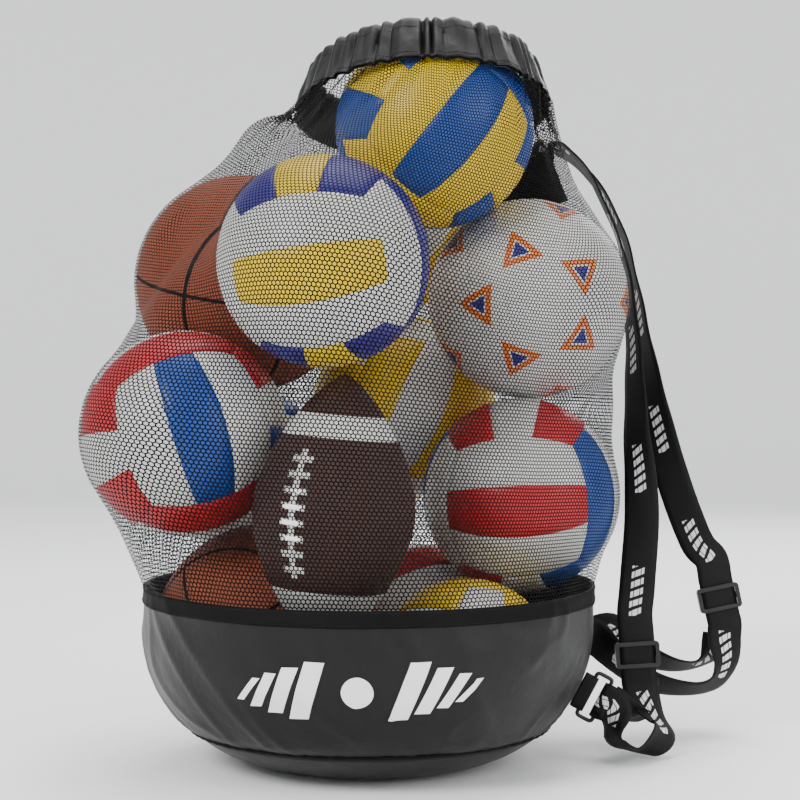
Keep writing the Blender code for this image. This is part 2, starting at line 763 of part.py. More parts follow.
def make_tab(number, strap, looks):
    surface, centre, normal, down, side = ring_frame(strap)
    bar = centre - normal * (RING_OPENING / 2 + RING_BAR / 2)
    start = surface + normal * (TOUCH_GAP * 2)
    spread = RING_BAR / 2 + RING_WRAP_GAP / 2 + WEBBING_THICKNESS / 2
    loop = turn_round(bar, normal, side, RING_WRAP_GAP / 2)
    root = [start - side * spread] + loop + [start + side * spread]
    webbing(f"strap_tab_{number}", [(p, down) for p in root], looks["webbing"])


def strap_stations(surface, strap):
    """The whole strap: from its sewn top, through the slider, round the ring and back."""
    _, centre, normal, down, side = ring_frame(strap)
    bar = centre + normal * (RING_OPENING / 2 + RING_BAR / 2)
    along = np.array(Vector(strap["slider_along"]).normalized())
    middle = np.array(strap["slider"])
    across = strap["slider_across"]
    through = [(middle + along * s, across) for s in (0.045, 0.022, 0.0, -0.022, -0.030)]
    loop = turn_round(bar, -normal, side, RING_WRAP_GAP)
    straight = normal * RING_OPENING
    round_ring = [(p, down) for p in [loop[0] + straight, *loop, loop[-1] + straight]]
    sewn = [(p, a / np.linalg.norm(a)) for p, a in sewn_stations(surface, strap["sewn_azimuth"])]
    free = list(strap["upper"]) + through + list(strap["lower"])
    return sewn + free + round_ring + list(strap["back"])


def make_slider(number, strap, looks):
    """A three-bar slider. X is across the webbing, Z along it; -Y is the face that shows."""
    frame = frame_matrix(strap["slider"], strap["slider_across"], strap["slider_along"])
    window = WEBBING_WIDTH + 2 * STRAP_GAP
    width = window + 2 * SLIDER_SIDE_BAR
    slot = WEBBING_THICKNESS + 2 * STRAP_GAP
    bm = bmesh.new()
    bmesh.ops.create_cube(bm, size=1.0)
    bmesh.ops.scale(bm, vec=(width, SLIDER_THICKNESS, SLIDER_LENGTH), verts=bm.verts)
    corners = [e for e in bm.edges if abs(e.verts[0].co.y - e.verts[1].co.y) > SLIDER_THICKNESS / 2]
    bmesh.ops.bevel(
        bm,
        geom=corners,
        offset=0.004,
        offset_type="OFFSET",
        segments=3,
        profile=0.5,
        affect="EDGES",
        material=-1,
    )
    slider = mesh_object(f"strap_slider_{number}", bm, looks["plastic"])
    slider.matrix_world = frame
    long = SLIDER_LENGTH * 2
    opening = SLIDER_LENGTH - 2 * SLIDER_END_BAR
    beside = (long - SLIDER_CENTRE_BAR) / 2
    deep = SLIDER_THICKNESS
    cuts = (
        ("webbing_way", (window, slot, long), (0, 0, 0)),
        ("front_window", (window, deep, opening), (0, -deep / 2, 0)),
        ("back_upper", (window, deep, beside), (0, deep / 2, (SLIDER_CENTRE_BAR + beside) / 2)),
        ("back_lower", (window, deep, beside), (0, deep / 2, -(SLIDER_CENTRE_BAR + beside) / 2)),
    )
    for name, size, at in cuts:
        cut(slider, box_cutter(f"{name}_{number}", size, at, frame))


def make_straps(surface, looks):
    for number, strap in STRAPS.items():
        webbing(f"shoulder_strap_{number}", strap_stations(surface, strap), looks["webbing"])
        make_slider(number, strap, looks)
        make_ring(number, strap, looks)
        make_tab(number, strap, looks)


def make_strap_patch(surface, looks):
    """The patch that both straps are sewn to, on the net under the casing."""
    first, last = (round(a / 360 * COLUMNS) for a in PATCH_AZIMUTHS)
    low, high = PATCH_ROWS
    rows = surface[low : high + 1, first : last + 1]
    lift = NET_THICKNESS / 2 + FABRIC / 2 + 2 * TOUCH_GAP
    patch = grid_object("strap_patch", rows + facing_out(rows) * lift, looks["webbing"])
    add_thickness(patch, FABRIC, 0.0)


def facing_out(rows):
    """Unit normals of a stretch of the draped surface."""
    normal = np.cross(np.gradient(rows, axis=1), np.gradient(rows, axis=0))
    return normal / np.linalg.norm(normal, axis=-1, keepdims=True)


def sewn_stations(surface, azimuth):
    """The stretch of strap that is sewn flat on the patch, from its lower end up."""
    column = azimuth / 360 * COLUMNS
    first = math.floor(column)
    near = surface[:, first - 1 : first + 3]
    normals = facing_out(near)
    share = column - first
    points = near[:, 1] * (1 - share) + near[:, 2] * share
    normals = normals[:, 1] * (1 - share) + normals[:, 2] * share
    across = near[:, 1] - near[:, 2]
    lift = NET_THICKNESS / 2 + FABRIC + WEBBING_THICKNESS / 2 + SEWN_GAP
    low, high = PATCH_ROWS
    lifted = points + normals * lift
    middle = (lifted[low] + lifted[low + 1]) / 2
    return [(middle, across[low]), (lifted[low + 1], across[low + 1])]


def main():
    clear_scene()
    looks = {
        "skirt": material("satin nylon", (0.018, 0.017, 0.017), 0.45),
        "binding": material("binding tape", (0.014, 0.013, 0.013), 0.7),
        "net": material("knitted net", (0.012, 0.012, 0.012), 0.75),
        "webbing": material("webbing", (0.012, 0.012, 0.012), 0.7),
        "cord": material("drawcord", (0.02, 0.02, 0.02), 0.8),
        "plastic": material("moulded plastic", (0.03, 0.03, 0.03), 0.4),
        "steel": material("spring steel", (0.6, 0.6, 0.6), 0.3, 1.0),
        "volleyball": material("volleyball panels", (0.8, 0.8, 0.78), 0.5),
        "soccer": material("soccer panels", (0.82, 0.82, 0.8), 0.45),
        "basketball": material("basketball rubber", (0.46, 0.1, 0.04), 0.6),
        "small": material("small ball panels", (0.75, 0.6, 0.12), 0.5),
        "football": material("football leather", (0.09, 0.035, 0.025), 0.6),
    }
    places = settle()
    make_balls(places, looks)
    make_bottom(looks)
    surface = drape(places)
    make_net(surface, looks)
    top_ball = places["volleyball_top"]
    make_casing(top_ball, looks)
    make_drawcord(top_ball, looks)
    make_cord_lock(top_ball, looks)
    make_strap_patch(surface, looks)
    make_straps(surface, looks)


main()
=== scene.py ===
"""Finishes a drawstring mesh ball bag, filled with balls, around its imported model.

Metres, +Z up. The front of the bag faces -Y, and its straps hang at its right side, +X.
An azimuth is counted in degrees from the front, -Y, towards the right side, +X.
"""

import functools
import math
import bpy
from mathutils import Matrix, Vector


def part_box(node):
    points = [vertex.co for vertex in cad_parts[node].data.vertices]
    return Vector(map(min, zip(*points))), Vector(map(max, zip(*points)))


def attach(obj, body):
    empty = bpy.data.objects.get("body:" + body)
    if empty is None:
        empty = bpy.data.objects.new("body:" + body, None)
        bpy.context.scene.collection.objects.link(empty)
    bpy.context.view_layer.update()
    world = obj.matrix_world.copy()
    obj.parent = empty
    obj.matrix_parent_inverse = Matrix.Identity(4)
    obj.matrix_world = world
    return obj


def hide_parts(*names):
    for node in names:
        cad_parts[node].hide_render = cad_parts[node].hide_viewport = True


bl_info = {
    "name": "Mesh Ball Bag",
    "version": (1, 0, 0),
    "blender": (4, 5, 0),
    "location": "View3D > Sidebar > Ball Bag",
    "description": "Net, skirt, straps and balls of a drawstring ball bag",
    "category": "Object",
}

import bmesh
import bpy
import numpy as np
from bpy.props import FloatProperty, FloatVectorProperty, IntProperty, PointerProperty
from mathutils import Matrix, Vector, noise

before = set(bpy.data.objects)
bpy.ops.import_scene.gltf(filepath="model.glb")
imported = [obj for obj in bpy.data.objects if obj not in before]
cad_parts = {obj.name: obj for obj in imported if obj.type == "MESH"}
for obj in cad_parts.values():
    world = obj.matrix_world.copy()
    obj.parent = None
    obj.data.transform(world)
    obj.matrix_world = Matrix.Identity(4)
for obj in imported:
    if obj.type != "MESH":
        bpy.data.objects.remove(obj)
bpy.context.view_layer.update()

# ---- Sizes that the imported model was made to
SKIRT_RADIUS = 0.236
SKIRT_TOP = 0.187
CORNER_RADIUS = 0.145
SEAM_ANGLE = 43.0
FABRIC = 0.002
TAPE_WIDTH = 0.016
PIPING_DIAMETER = 0.005
MOUTH_RADIUS = 0.111
MOUTH_TILT = 17.0
MOUTH_BACK = 0.030
MOUTH_ABOVE_BALL = 0.050
MOUTH_SAG = 0.034
MOUTH_SAG_AZIMUTH = 238.0
CASING_HEIGHT = 0.052
CASING_TAPER = 0.020
CASING_SLIT = 13.0
CORD_DIAMETER = 0.005
CORD_ROOM = 0.0018
LOCK_DIAMETER = 0.020
LOCK_STAND_OFF = 0.021
CORD_TAIL = 0.030
WEBBING_WIDTH = 0.038
WEBBING_THICKNESS = 0.0016
RING_BAR = 0.005
RING_OPENING = 0.013
RING_WRAP_GAP = 0.0022
TAB_LENGTH = 0.016
PATCH_AZIMUTHS = (112.5, 157.5)
PATCH_SHARES = (0.80, 0.933)  # how far up the net the strap patch starts and ends
SEWN_SHARES = (0.833, 0.867)
SEWN_LIFT = 0.0125
FOOTBALL_LENGTH = 0.272
FOOTBALL_WIDTH = 0.160
FOOTBALL_LEAN = 5.0

STRAPS = {
    1: {
        "sewn_azimuth": 125.0,
        "ring_azimuth": 84.0,
        "ring_height": 0.078,
        "slider": (0.287, 0.022, 0.106),
        "slider_along": (-0.06, 0.08, 1.0),
        "slider_across": (1.0, 0.02, -0.06),
        "upper": (
            ((0.196, 0.126, 0.666), (0.55, -0.80, -0.10)),
            ((0.220, 0.140, 0.660), (0.40, -0.88, -0.25)),
            ((0.246, 0.144, 0.632), (0.20, -0.93, -0.30)),
            ((0.268, 0.138, 0.585), (0.05, -0.98, -0.20)),
            ((0.285, 0.125, 0.529), (0.05, -0.99, -0.12)),
            ((0.291, 0.100, 0.439), (0.30, -0.95, -0.05)),
            ((0.292, 0.077, 0.346), (0.60, -0.80, 0.00)),
            ((0.295, 0.052, 0.262), (0.92, -0.40, 0.00)),
            ((0.288, 0.034, 0.180), (1.00, -0.10, 0.00)),
        ),
        "lower": (
            ((0.291, 0.016, 0.066), (0.98, 0.20, 0.05)),
            ((0.303, 0.008, 0.043), (0.70, 0.70, -0.15)),
            ((0.311, -0.006, 0.030), (0.70, 0.60, -0.40)),
            ((0.299, -0.020, 0.020), (0.55, 0.70, -0.45)),
            ((0.276, -0.026, 0.014), (0.10, 0.95, -0.25)),
            ((0.256, -0.030, 0.026), (-0.10, 0.80, -0.60)),
        ),
        "back": (
            ((0.256, -0.012, 0.060), (-0.28, 0.15, -0.94)),
            ((0.272, 0.004, 0.046), (-0.25, 0.60, -0.75)),
            ((0.290, 0.022, 0.041), (-0.10, 0.95, -0.25)),
            ((0.298, 0.034, 0.052), (0.60, 0.80, -0.10)),
            ((0.294, 0.034, 0.074), (0.97, 0.22, -0.05)),
        ),
    },
    2: {
        "sewn_azimuth": 146.0,
        "ring_azimuth": 116.0,
        "ring_height": 0.120,
        "slider": (0.391, 0.120, 0.155),
        "slider_along": (-0.20, 0.08, 0.975),
        "slider_across": (0.975, 0.05, 0.20),
        "upper": (
            ((0.164, 0.170, 0.660), (0.75, -0.65, -0.05)),
            ((0.198, 0.192, 0.668), (0.60, -0.78, -0.15)),
            ((0.246, 0.193, 0.642), (0.30, -0.93, -0.20)),
            ((0.284, 0.182, 0.580), (0.10, -0.98, -0.15)),
            ((0.301, 0.170, 0.513), (0.10, -0.98, -0.10)),
            ((0.311, 0.160, 0.440), (0.35, -0.93, 0.00)),
            ((0.322, 0.152, 0.367), (0.75, -0.65, 0.10)),
            ((0.341, 0.142, 0.290), (0.95, -0.25, 0.20)),
            ((0.366, 0.132, 0.220), (0.96, -0.05, 0.25)),
        ),
        "lower": (
            ((0.396, 0.114, 0.112), (0.99, 0.10, -0.02)),
            ((0.398, 0.112, 0.084), (0.80, 0.60, -0.10)),
            ((0.386, 0.112, 0.062), (0.45, 0.80, -0.35)),
            ((0.358, 0.110, 0.054), (0.10, 0.85, -0.50)),
            ((0.322, 0.106, 0.060), (-0.05, 0.75, -0.66)),
            ((0.284, 0.102, 0.080), (-0.20, 0.60, -0.77)),
        ),
        "back": (
            ((0.268, 0.132, 0.118), (-0.15, 0.20, -0.96)),
            ((0.286, 0.146, 0.100), (-0.15, 0.50, -0.85)),
            ((0.324, 0.152, 0.080), (-0.05, 0.75, -0.66)),
            ((0.360, 0.150, 0.074), (0.15, 0.90, -0.40)),
            ((0.384, 0.142, 0.084), (0.70, 0.70, -0.10)),
            ((0.393, 0.134, 0.112), (0.98, 0.15, -0.02)),
        ),
    },
}

# ---- How each strip ball is turned, in degrees about X, Y and Z, and the strips on each of its STRIP_SIDES.
# The letters are W white, B blue, Y yellow, R red and V violet-blue.
STRIP_BALLS = {
    "volleyball_top": ((8, 38, 12), "YBY BYB BYB BYB BYB YBY"),
    "volleyball_front": ((10, 82, -8), "WYW WYW VYV VYV WVW WVW"),
    "volleyball_left": ((-6, -16, 14), "WBW WRW RWR BWR RWR RWB"),
    "volleyball_right": ((6, 87, -6), "WRW WRW RWR RWB BWB WBW"),
    "volleyball_middle": ((0, 24, 10), "YWY WYW WYW YWY WYW WYW"),
    "small_ball_left": ((30, 10, 40), "WBW WBW WBW YBY WBW WBW"),
    "small_ball_back": ((10, 50, 20), "YWY BYB YBY BYB YBY YWY"),
    "small_ball_lower": ((20, -20, 15), "RWR WRW WRW RWR WRW WRW"),
    "small_ball_right": ((-20, 30, 35), "WYW WYW YWY WYW YWY WYW"),
}
STRIP_SIDES = ("-Y", "+Y", "-X", "+X", "+Z", "-Z")
STRIP_CELLS = 36  # cells across a face of a strip ball

# ---- Loose puffs of the net, which has more cloth than its load needs: place, radius
LOOSE_PUFFS = (
    ((-0.100, 0.080, 0.636), 0.052),
    ((-0.030, 0.120, 0.655), 0.050),
    ((0.205, 0.050, 0.380), 0.045),
    ((-0.205, -0.010, 0.225), 0.045),
    ((0.195, -0.045, 0.205), 0.035),
)


class BallBagSizes(bpy.types.PropertyGroup):
    """Sizes of the bag's cloth and trim."""

    cells_round: IntProperty(
        name="Net cells round", description="Net cells round the bag", default=330, min=60
    )
    cell_rows: IntProperty(
        name="Net rows", description="Rows of net cells from skirt to casing", default=160, min=20
    )
    bands: IntProperty(name="Net bands", description="Bands that the net is knitted in", default=10, min=1)
    cell_side: FloatProperty(
        name="Cell side", description="Length of one side of a net cell", default=0.0026, unit="LENGTH"
    )
    thread_half: FloatProperty(
        name="Half thread", description="Half the width of a net thread", default=0.00062, unit="LENGTH"
    )
    clearance: FloatProperty(
        name="Net clearance", description="From a ball to the net over it", default=0.0026, unit="LENGTH"
    )
    pleat_depth: FloatProperty(
        name="Pleat depth",
        description="Depth of the pleats under the casing",
        default=0.0045,
        unit="LENGTH",
    )
    gathers: IntProperty(
        name="Casing gathers", description="Gathers in the casing round the mouth", default=34, min=8
    )
    gather_depth: FloatProperty(
        name="Gather depth", description="Depth of a gather in the casing", default=0.0044, unit="LENGTH"
    )
    wrinkle_depth: FloatProperty(
        name="Wrinkle depth",
        description="Depth of the skirt's soft wrinkles",
        default=0.0055,
        unit="LENGTH",
    )
    groove: FloatProperty(
        name="Seam groove", description="Depth of the seams of a ball", default=0.0010, unit="LENGTH"
    )
    mark_pitch: FloatProperty(
        name="Mark pitch",
        description="From one printed mark on the webbing to the next",
        default=0.135,
        unit="LENGTH",
    )


class BallBagColours(bpy.types.PropertyGroup):
    """Colours of the cloth, the balls and the floor."""

    nylon: FloatVectorProperty(
        name="Nylon",
        description="Satin nylon of the skirt",
        subtype="COLOR",
        default=(0.0035, 0.0033, 0.0035),
    )
    net: FloatVectorProperty(
        name="Net", description="Knitted net", subtype="COLOR", default=(0.0016, 0.0016, 0.0017)
    )
    webbing: FloatVectorProperty(
        name="Webbing", description="Strap webbing", subtype="COLOR", default=(0.004, 0.004, 0.0042)
    )
    white: FloatVectorProperty(
        name="White", description="White panels", subtype="COLOR", default=(0.80, 0.79, 0.77)
    )
    blue: FloatVectorProperty(
        name="Blue", description="Blue panels", subtype="COLOR", default=(0.008, 0.070, 0.36)
    )
    yellow: FloatVectorProperty(
        name="Yellow", description="Yellow panels", subtype="COLOR", default=(0.90, 0.62, 0.012)
    )
    red: FloatVectorProperty(
        name="Red", description="Red panels", subtype="COLOR", default=(0.58, 0.014, 0.022)
    )
    violet: FloatVectorProperty(
        name="Violet", description="Violet-blue panels", subtype="COLOR", default=(0.025, 0.016, 0.25)
    )
    orange: FloatVectorProperty(
        name="Orange", description="Orange marks", subtype="COLOR", default=(0.86, 0.19, 0.02)
    )
    rubber: FloatVectorProperty(
        name="Basketball", description="Basketball rubber", subtype="COLOR", default=(0.40, 0.085, 0.028)
    )
    leather: FloatVectorProperty(
        name="Football",
        description="American football hide",
        subtype="COLOR",
        default=(0.070, 0.026, 0.019),
    )
    floor: FloatVectorProperty(
        name="Floor", description="Floor and backdrop", subtype="COLOR", default=(0.86, 0.86, 0.86)
    )


# ---- Node trees


def node(tree, kind, inputs=(), **settings):
    """A new node. inputs pairs a socket's name or number with a value or another node's output."""
    made = tree.nodes.new(kind)
    for key, value in settings.items():
        setattr(made, key, value)
    for key, value in dict(inputs).items():
        if isinstance(value, bpy.types.NodeSocket):
            tree.links.new(value, made.inputs[key])
        else:
            made.inputs[key].default_value = value
    return made


def sums(tree, operation, *values, clamp=False):
    made = node(tree, "ShaderNodeMath", operation=operation, use_clamp=clamp)
    for number, value in enumerate(values):
        if isinstance(value, bpy.types.NodeSocket):
            tree.links.new(value, made.inputs[number])
        else:
            made.inputs[number].default_value = value
    return made.outputs[0]


def mixed(tree, factor, first, second):
    made = node(tree, "ShaderNodeMix", data_type="RGBA")
    for socket, value in ((0, factor), (6, first), (7, second)):
        if isinstance(value, bpy.types.NodeSocket):
            tree.links.new(value, made.inputs[socket])
        elif socket:
            made.inputs[socket].default_value = (*value, 1.0)
        else:
            made.inputs[socket].default_value = value
    return made.outputs[2]


LOOKS = {}


def new_material(name, roughness, metallic=0.0, coat=0.0, sheen=0.0, specular=0.5):
    """(material, its tree, its shader), with no tree where an earlier call made the material."""
    if name in LOOKS:
        return LOOKS[name], None, None
    made = bpy.data.materials.new(name)
    LOOKS[name] = made
    made.use_nodes = True
    tree = made.node_tree
    shader = tree.nodes["Principled BSDF"]
    shader.inputs["Roughness"].default_value = roughness
    shader.inputs["Metallic"].default_value = metallic
    shader.inputs["Coat Weight"].default_value = coat
    shader.inputs["Coat Roughness"].default_value = 0.25
    shader.inputs["Sheen Weight"].default_value = sheen
    shader.inputs["Sheen Roughness"].default_value = 0.45
    shader.inputs["Specular IOR Level"].default_value = specular
    return made, tree, shader


def object_place(tree):
    return tree.nodes.new("ShaderNodeTexCoord").outputs["Object"]


def mottled(tree, place, color, spread, scale):
    """A colour with soft darker and lighter patches."""
    patches = node(tree, "ShaderNodeTexNoise", {"Vector": place, "Scale": scale, "Detail": 4.0})
    darker = tuple(c * (1 - spread) for c in color)
    lighter = tuple(min(1.0, c * (1 + spread)) for c in color)
    return mixed(tree, patches.outputs[0], darker, lighter)


def bumped(tree, shader, height, strength, distance):
    bump = node(tree, "ShaderNodeBump", {"Height": height, "Strength": strength, "Distance": distance})
    tree.links.new(bump.outputs[0], shader.inputs["Normal"])


def panel_material(name, color, dimple=900.0, strength=0.25, roughness=0.42):
    """Soft coated panel of a ball, with fine dimples and a little wear."""
    made, tree, shader = new_material(name, roughness, coat=0.12)
    if tree is None:
        return made
    place = object_place(tree)
    tree.links.new(mottled(tree, place, color, 0.07, 22.0), shader.inputs["Base Color"])
    cells = node(tree, "ShaderNodeTexVoronoi", {"Vector": place, "Scale": dimple}, feature="SMOOTH_F1")
    scuffs = node(tree, "ShaderNodeTexNoise", {"Vector": place, "Scale": 60.0, "Detail": 6.0})
    rough = sums(tree, "MULTIPLY_ADD", scuffs.outputs[0], 0.25, roughness - 0.12)
    tree.links.new(rough, shader.inputs["Roughness"])
    bumped(tree, shader, cells.outputs["Distance"], strength, 0.0006)
    return made


def pebbled_material(name, color, pebble, strength, roughness):
    """Pebbled hide or rubber: raised round cells, with painted shade darkening the valleys between them."""
    made, tree, shader = new_material(name, roughness, specular=0.4)
    if tree is None:
        return made
    place = object_place(tree)
    cells = node(tree, "ShaderNodeTexVoronoi", {"Vector": place, "Scale": pebble}, feature="F1")
    raised = sums(tree, "SUBTRACT", 1.0, cells.outputs["Distance"], clamp=True)
    base = mottled(tree, place, color, 0.15, 30.0)
    # Painted shade: the colour drops to 45% in the valleys between the pebbles, following the same height as the
    # bump.
    painted_valley_shade = mixed(tree, sums(tree, "POWER", raised, 0.7), tuple(c * 0.45 for c in color), base)
    tree.links.new(painted_valley_shade, shader.inputs["Base Color"])
    bumped(tree, shader, raised, strength, 0.0012)
    return made


def nylon_material(color):
    """Satin woven nylon: a fine weave under soft puckers."""
    made, tree, shader = new_material("satin_nylon", 0.40, specular=0.22)
    if tree is None:
        return made
    place = object_place(tree)
    tree.links.new(mottled(tree, place, color, 0.18, 9.0), shader.inputs["Base Color"])
    warp = node(tree, "ShaderNodeTexWave", {"Vector": place, "Scale": 420.0}, bands_direction="Z")
    weft = node(tree, "ShaderNodeTexWave", {"Vector": place, "Scale": 420.0}, bands_direction="DIAGONAL")
    puckers = node(
        tree, "ShaderNodeTexNoise", {"Vector": place, "Scale": 70.0, "Detail": 5.0, "Roughness": 0.6}
    )
    weave = sums(tree, "MULTIPLY", sums(tree, "ADD", warp.outputs["Fac"], weft.outputs["Fac"]), 0.05)
    height = sums(tree, "ADD", weave, puckers.outputs[0])
    gloss = node(tree, "ShaderNodeTexNoise", {"Vector": place, "Scale": 14.0, "Detail": 3.0})
    tree.links.new(sums(tree, "MULTIPLY_ADD", gloss.outputs[0], 0.24, 0.28), shader.inputs["Roughness"])
    bumped(tree, shader, height, 0.35, 0.0022)
    return made


def thread_material(name, color, roughness=0.7, scale=1500.0):
    made, tree, shader = new_material(name, roughness, specular=0.06)
    if tree is None:
        return made
    place = object_place(tree)
    tree.links.new(mottled(tree, place, color, 0.35, 120.0), shader.inputs["Base Color"])
    fibres = node(tree, "ShaderNodeTexNoise", {"Vector": place, "Scale": scale, "Detail": 2.0})
    bumped(tree, shader, fibres.outputs[0], 0.4, 0.0004)
    return made


def plastic_material():
    """Moulded black plastic with a fine spark-eroded grain."""
    made, tree, shader = new_material("moulded_plastic", 0.38, specular=0.3)
    if tree is None:
        return made
    place = object_place(tree)
    tree.links.new(mottled(tree, place, (0.012, 0.012, 0.013), 0.2, 60.0), shader.inputs["Base Color"])
    grain = node(tree, "ShaderNodeTexNoise", {"Vector": place, "Scale": 2200.0, "Detail": 2.0})
    tree.links.new(sums(tree, "MULTIPLY_ADD", grain.outputs[0], 0.2, 0.28), shader.inputs["Roughness"])
    bumped(tree, shader, grain.outputs[0], 0.18, 0.0004)
    return made


def webbing_material(color, pitch):
    """Ribbed webbing with a printed mark that repeats, and painted shade and highlight on its weave. Its UV map
    is across, in widths, and along, in metres.
    """
    made, tree, shader = new_material("webbing", 0.62, specular=0.14)
    if tree is None:
        return made
    uv = node(tree, "ShaderNodeUVMap", uv_map="UVMap").outputs[0]
    split = node(tree, "ShaderNodeSeparateXYZ", {0: uv})
    across, along = split.outputs[0], split.outputs[1]
    ribs = sums(tree, "SINE", sums(tree, "MULTIPLY", along, math.tau / 0.0016))
    rows = sums(tree, "SINE", sums(tree, "MULTIPLY", across, math.tau * 17))
    weave = sums(tree, "MULTIPLY_ADD", sums(tree, "MULTIPLY", ribs, rows), 0.25, 0.5)
    into = sums(tree, "MULTIPLY", sums(tree, "FRACT", sums(tree, "DIVIDE", along, pitch)), pitch)
    middle = sums(tree, "ABSOLUTE", sums(tree, "SUBTRACT", into, pitch / 2))
    in_length = sums(tree, "LESS_THAN", middle, 0.027)
    slant = sums(tree, "MULTIPLY_ADD", across, 0.038 * 0.5, into)
    beat = sums(tree, "FRACT", sums(tree, "DIVIDE", slant, 0.0108))
    bar = sums(tree, "LESS_THAN", beat, 0.62)
    off_middle = sums(tree, "ABSOLUTE", sums(tree, "SUBTRACT", across, 0.5))
    in_width = sums(tree, "LESS_THAN", off_middle, 0.17)
    inner = sums(
        tree, "GREATER_THAN", sums(tree, "ABSOLUTE", sums(tree, "SUBTRACT", off_middle, 0.085)), 0.012
    )
    ink = sums(
        tree, "MULTIPLY", sums(tree, "MULTIPLY", in_length, bar), sums(tree, "MULTIPLY", in_width, inner)
    )
    # Painted shade and highlight: the weave's colour runs from 0.6 to 1.9 times the webbing colour. It is darker
    # in the grooves and lighter on the ribs, following the bump's height.
    painted_weave_shade = mixed(tree, weave, tuple(c * 0.6 for c in color), tuple(c * 1.9 for c in color))
    tree.links.new(mixed(tree, ink, painted_weave_shade, (0.62, 0.62, 0.61)), shader.inputs["Base Color"])
    bumped(tree, shader, weave, 0.6, 0.0006)
    return made


def ink_material():
    made, tree, shader = new_material("print_ink", 0.5)
    if tree is None:
        return made
    place = object_place(tree)
    tree.links.new(mottled(tree, place, (0.78, 0.78, 0.76), 0.05, 120.0), shader.inputs["Base Color"])
    crackle = node(tree, "ShaderNodeTexNoise", {"Vector": place, "Scale": 900.0, "Detail": 3.0})
    bumped(tree, shader, crackle.outputs[0], 0.2, 0.0003)
    return made


def steel_material():
    made, tree, shader = new_material("spring_steel", 0.3, metallic=1.0)
    if tree is None:
        return made
    place = object_place(tree)
    tree.links.new(mottled(tree, place, (0.55, 0.55, 0.56), 0.1, 800.0), shader.inputs["Base Color"])
    return made


def floor_material(color):
    made, tree, shader = new_material("studio_floor", 0.9, specular=0.1)
    if tree is not None:
        shader.inputs["Base Color"].default_value = (*color, 1.0)
    return made


# ---- Meshes


def put(name, bm, looks, body="bag", angle=50.0, replaces=()):
    """Turns bm into a finished piece that rides on a body."""
    mesh = bpy.data.meshes.new(name)
    bm.to_mesh(mesh)
    bm.free()
    mesh.shade_smooth()
    mesh.set_sharp_from_angle(angle=math.radians(angle))
    return placed(name, mesh, looks, body, replaces)


def placed(name, mesh, looks, body, replaces):
    piece = bpy.data.objects.new(name, mesh)
    bpy.context.scene.collection.objects.link(piece)
    for look in looks:
        mesh.materials.append(look)
    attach(piece, body)
    if replaces:
        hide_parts(*replaces)
    return piece


def thicken(piece, thickness, offset=0.0):
    solid = piece.modifiers.new("Thickness", "SOLIDIFY")
    solid.thickness = thickness
    solid.offset = offset


def grid_mesh(points, around=False, uv_along=None):
    """A bmesh through rows and columns of points. uv_along gives a UV map its metres along the rows."""
    points = np.asarray(points)
    if around:
        points = np.concatenate([points, points[:, :1]], axis=1)
    rows, columns = points.shape[:2]
    bm = bmesh.new()
    bmesh.ops.create_grid(bm, x_segments=columns - 1, y_segments=rows - 1, size=1.0)
    layer = bm.loops.layers.uv.new("UVMap") if uv_along is not None else None
    where = {}
    for vert in bm.verts:
        column = round((vert.co.x + 1) / 2 * (columns - 1))
        row = round((vert.co.y + 1) / 2 * (rows - 1))
        where[vert] = (row, column)
        vert.co = points[row, column]
    if layer is not None:
        for face in bm.faces:
            for loop in face.loops:
                row, column = where[loop.vert]
                loop[layer].uv = (column / (columns - 1), uv_along[row])
    if around:
        bmesh.ops.remove_doubles(bm, verts=bm.verts, dist=1e-6)
    return bm


def unit(vectors):
    return vectors / np.maximum(np.linalg.norm(vectors, axis=-1, keepdims=True), 1e-12)


def smooth_path(points, step):
    """Points on a Catmull-Rom curve through the given ones, about a step apart or closer."""
    points = np.array(points, float)
    ends = np.concatenate([points[:1] * 2 - points[1:2], points, points[-1:] * 2 - points[-2:-1]])
    path = []
    for a, b, c, d in zip(ends, ends[1:], ends[2:], ends[3:]):
        count = max(1, math.ceil(np.linalg.norm((c - b)[:3]) / step))
        for t in np.arange(count) / count:
            bend = (2 * a - 5 * b + 4 * c - d) * t**2 + (3 * b - 3 * c + d - a) * t**3
            path.append((2 * b + (c - a) * t + bend) / 2)
    path.append(points[-1])
    return np.array(path)


def outward(azimuth):
    turn = math.radians(azimuth)
    return np.array((math.sin(turn), -math.cos(turn), 0.0))


@functools.lru_cache(maxsize=None)
def ball_of(name):
    """Centre and radius of a packed ball."""
    low, high = (np.array(corner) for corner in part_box(name))
    return (low + high) / 2, (high[2] - low[2]) / 2


# ---- The draped net


def football_radius(along):
    share = min(1.0, abs(along) / (FOOTBALL_LENGTH / 2))
    return FOOTBALL_WIDTH / 2 * (1 - share**1.75) ** 0.80


def football_frame():
    """Centre of the football, and a matrix that turns its axis from +Z."""
    centre, _ = ball_of("american_football")
    return Vector(centre), Matrix.Rotation(math.radians(FOOTBALL_LEAN), 3, "Y")


def load_spheres(clearance):
    found = []
    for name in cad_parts:
        if name == "american_football":
            centre, turn = football_frame()
            axis = np.array(turn @ Vector((0, 0, 1)))
            for along in np.linspace(-0.42, 0.42, 9) * FOOTBALL_LENGTH:
                found.append((np.array(centre) + axis * along, football_radius(along) + clearance))
        elif "ball" in name:
            centre, radius = ball_of(name)
            found.append((centre, radius + clearance))
    return found


@functools.lru_cache(maxsize=None)
def mouth_frame():
    """Centre of the mouth, the way it faces, and its front-to-back direction."""
    tilt = math.radians(MOUTH_TILT)
    top_ball, _ = ball_of("volleyball_top")
    centre = top_ball + np.array((0, MOUTH_BACK, MOUTH_ABOVE_BALL))
    facing = np.array((0, math.sin(tilt), math.cos(tilt)))
    backward = np.array((0, math.cos(tilt), -math.sin(tilt)))
    return centre, facing, backward


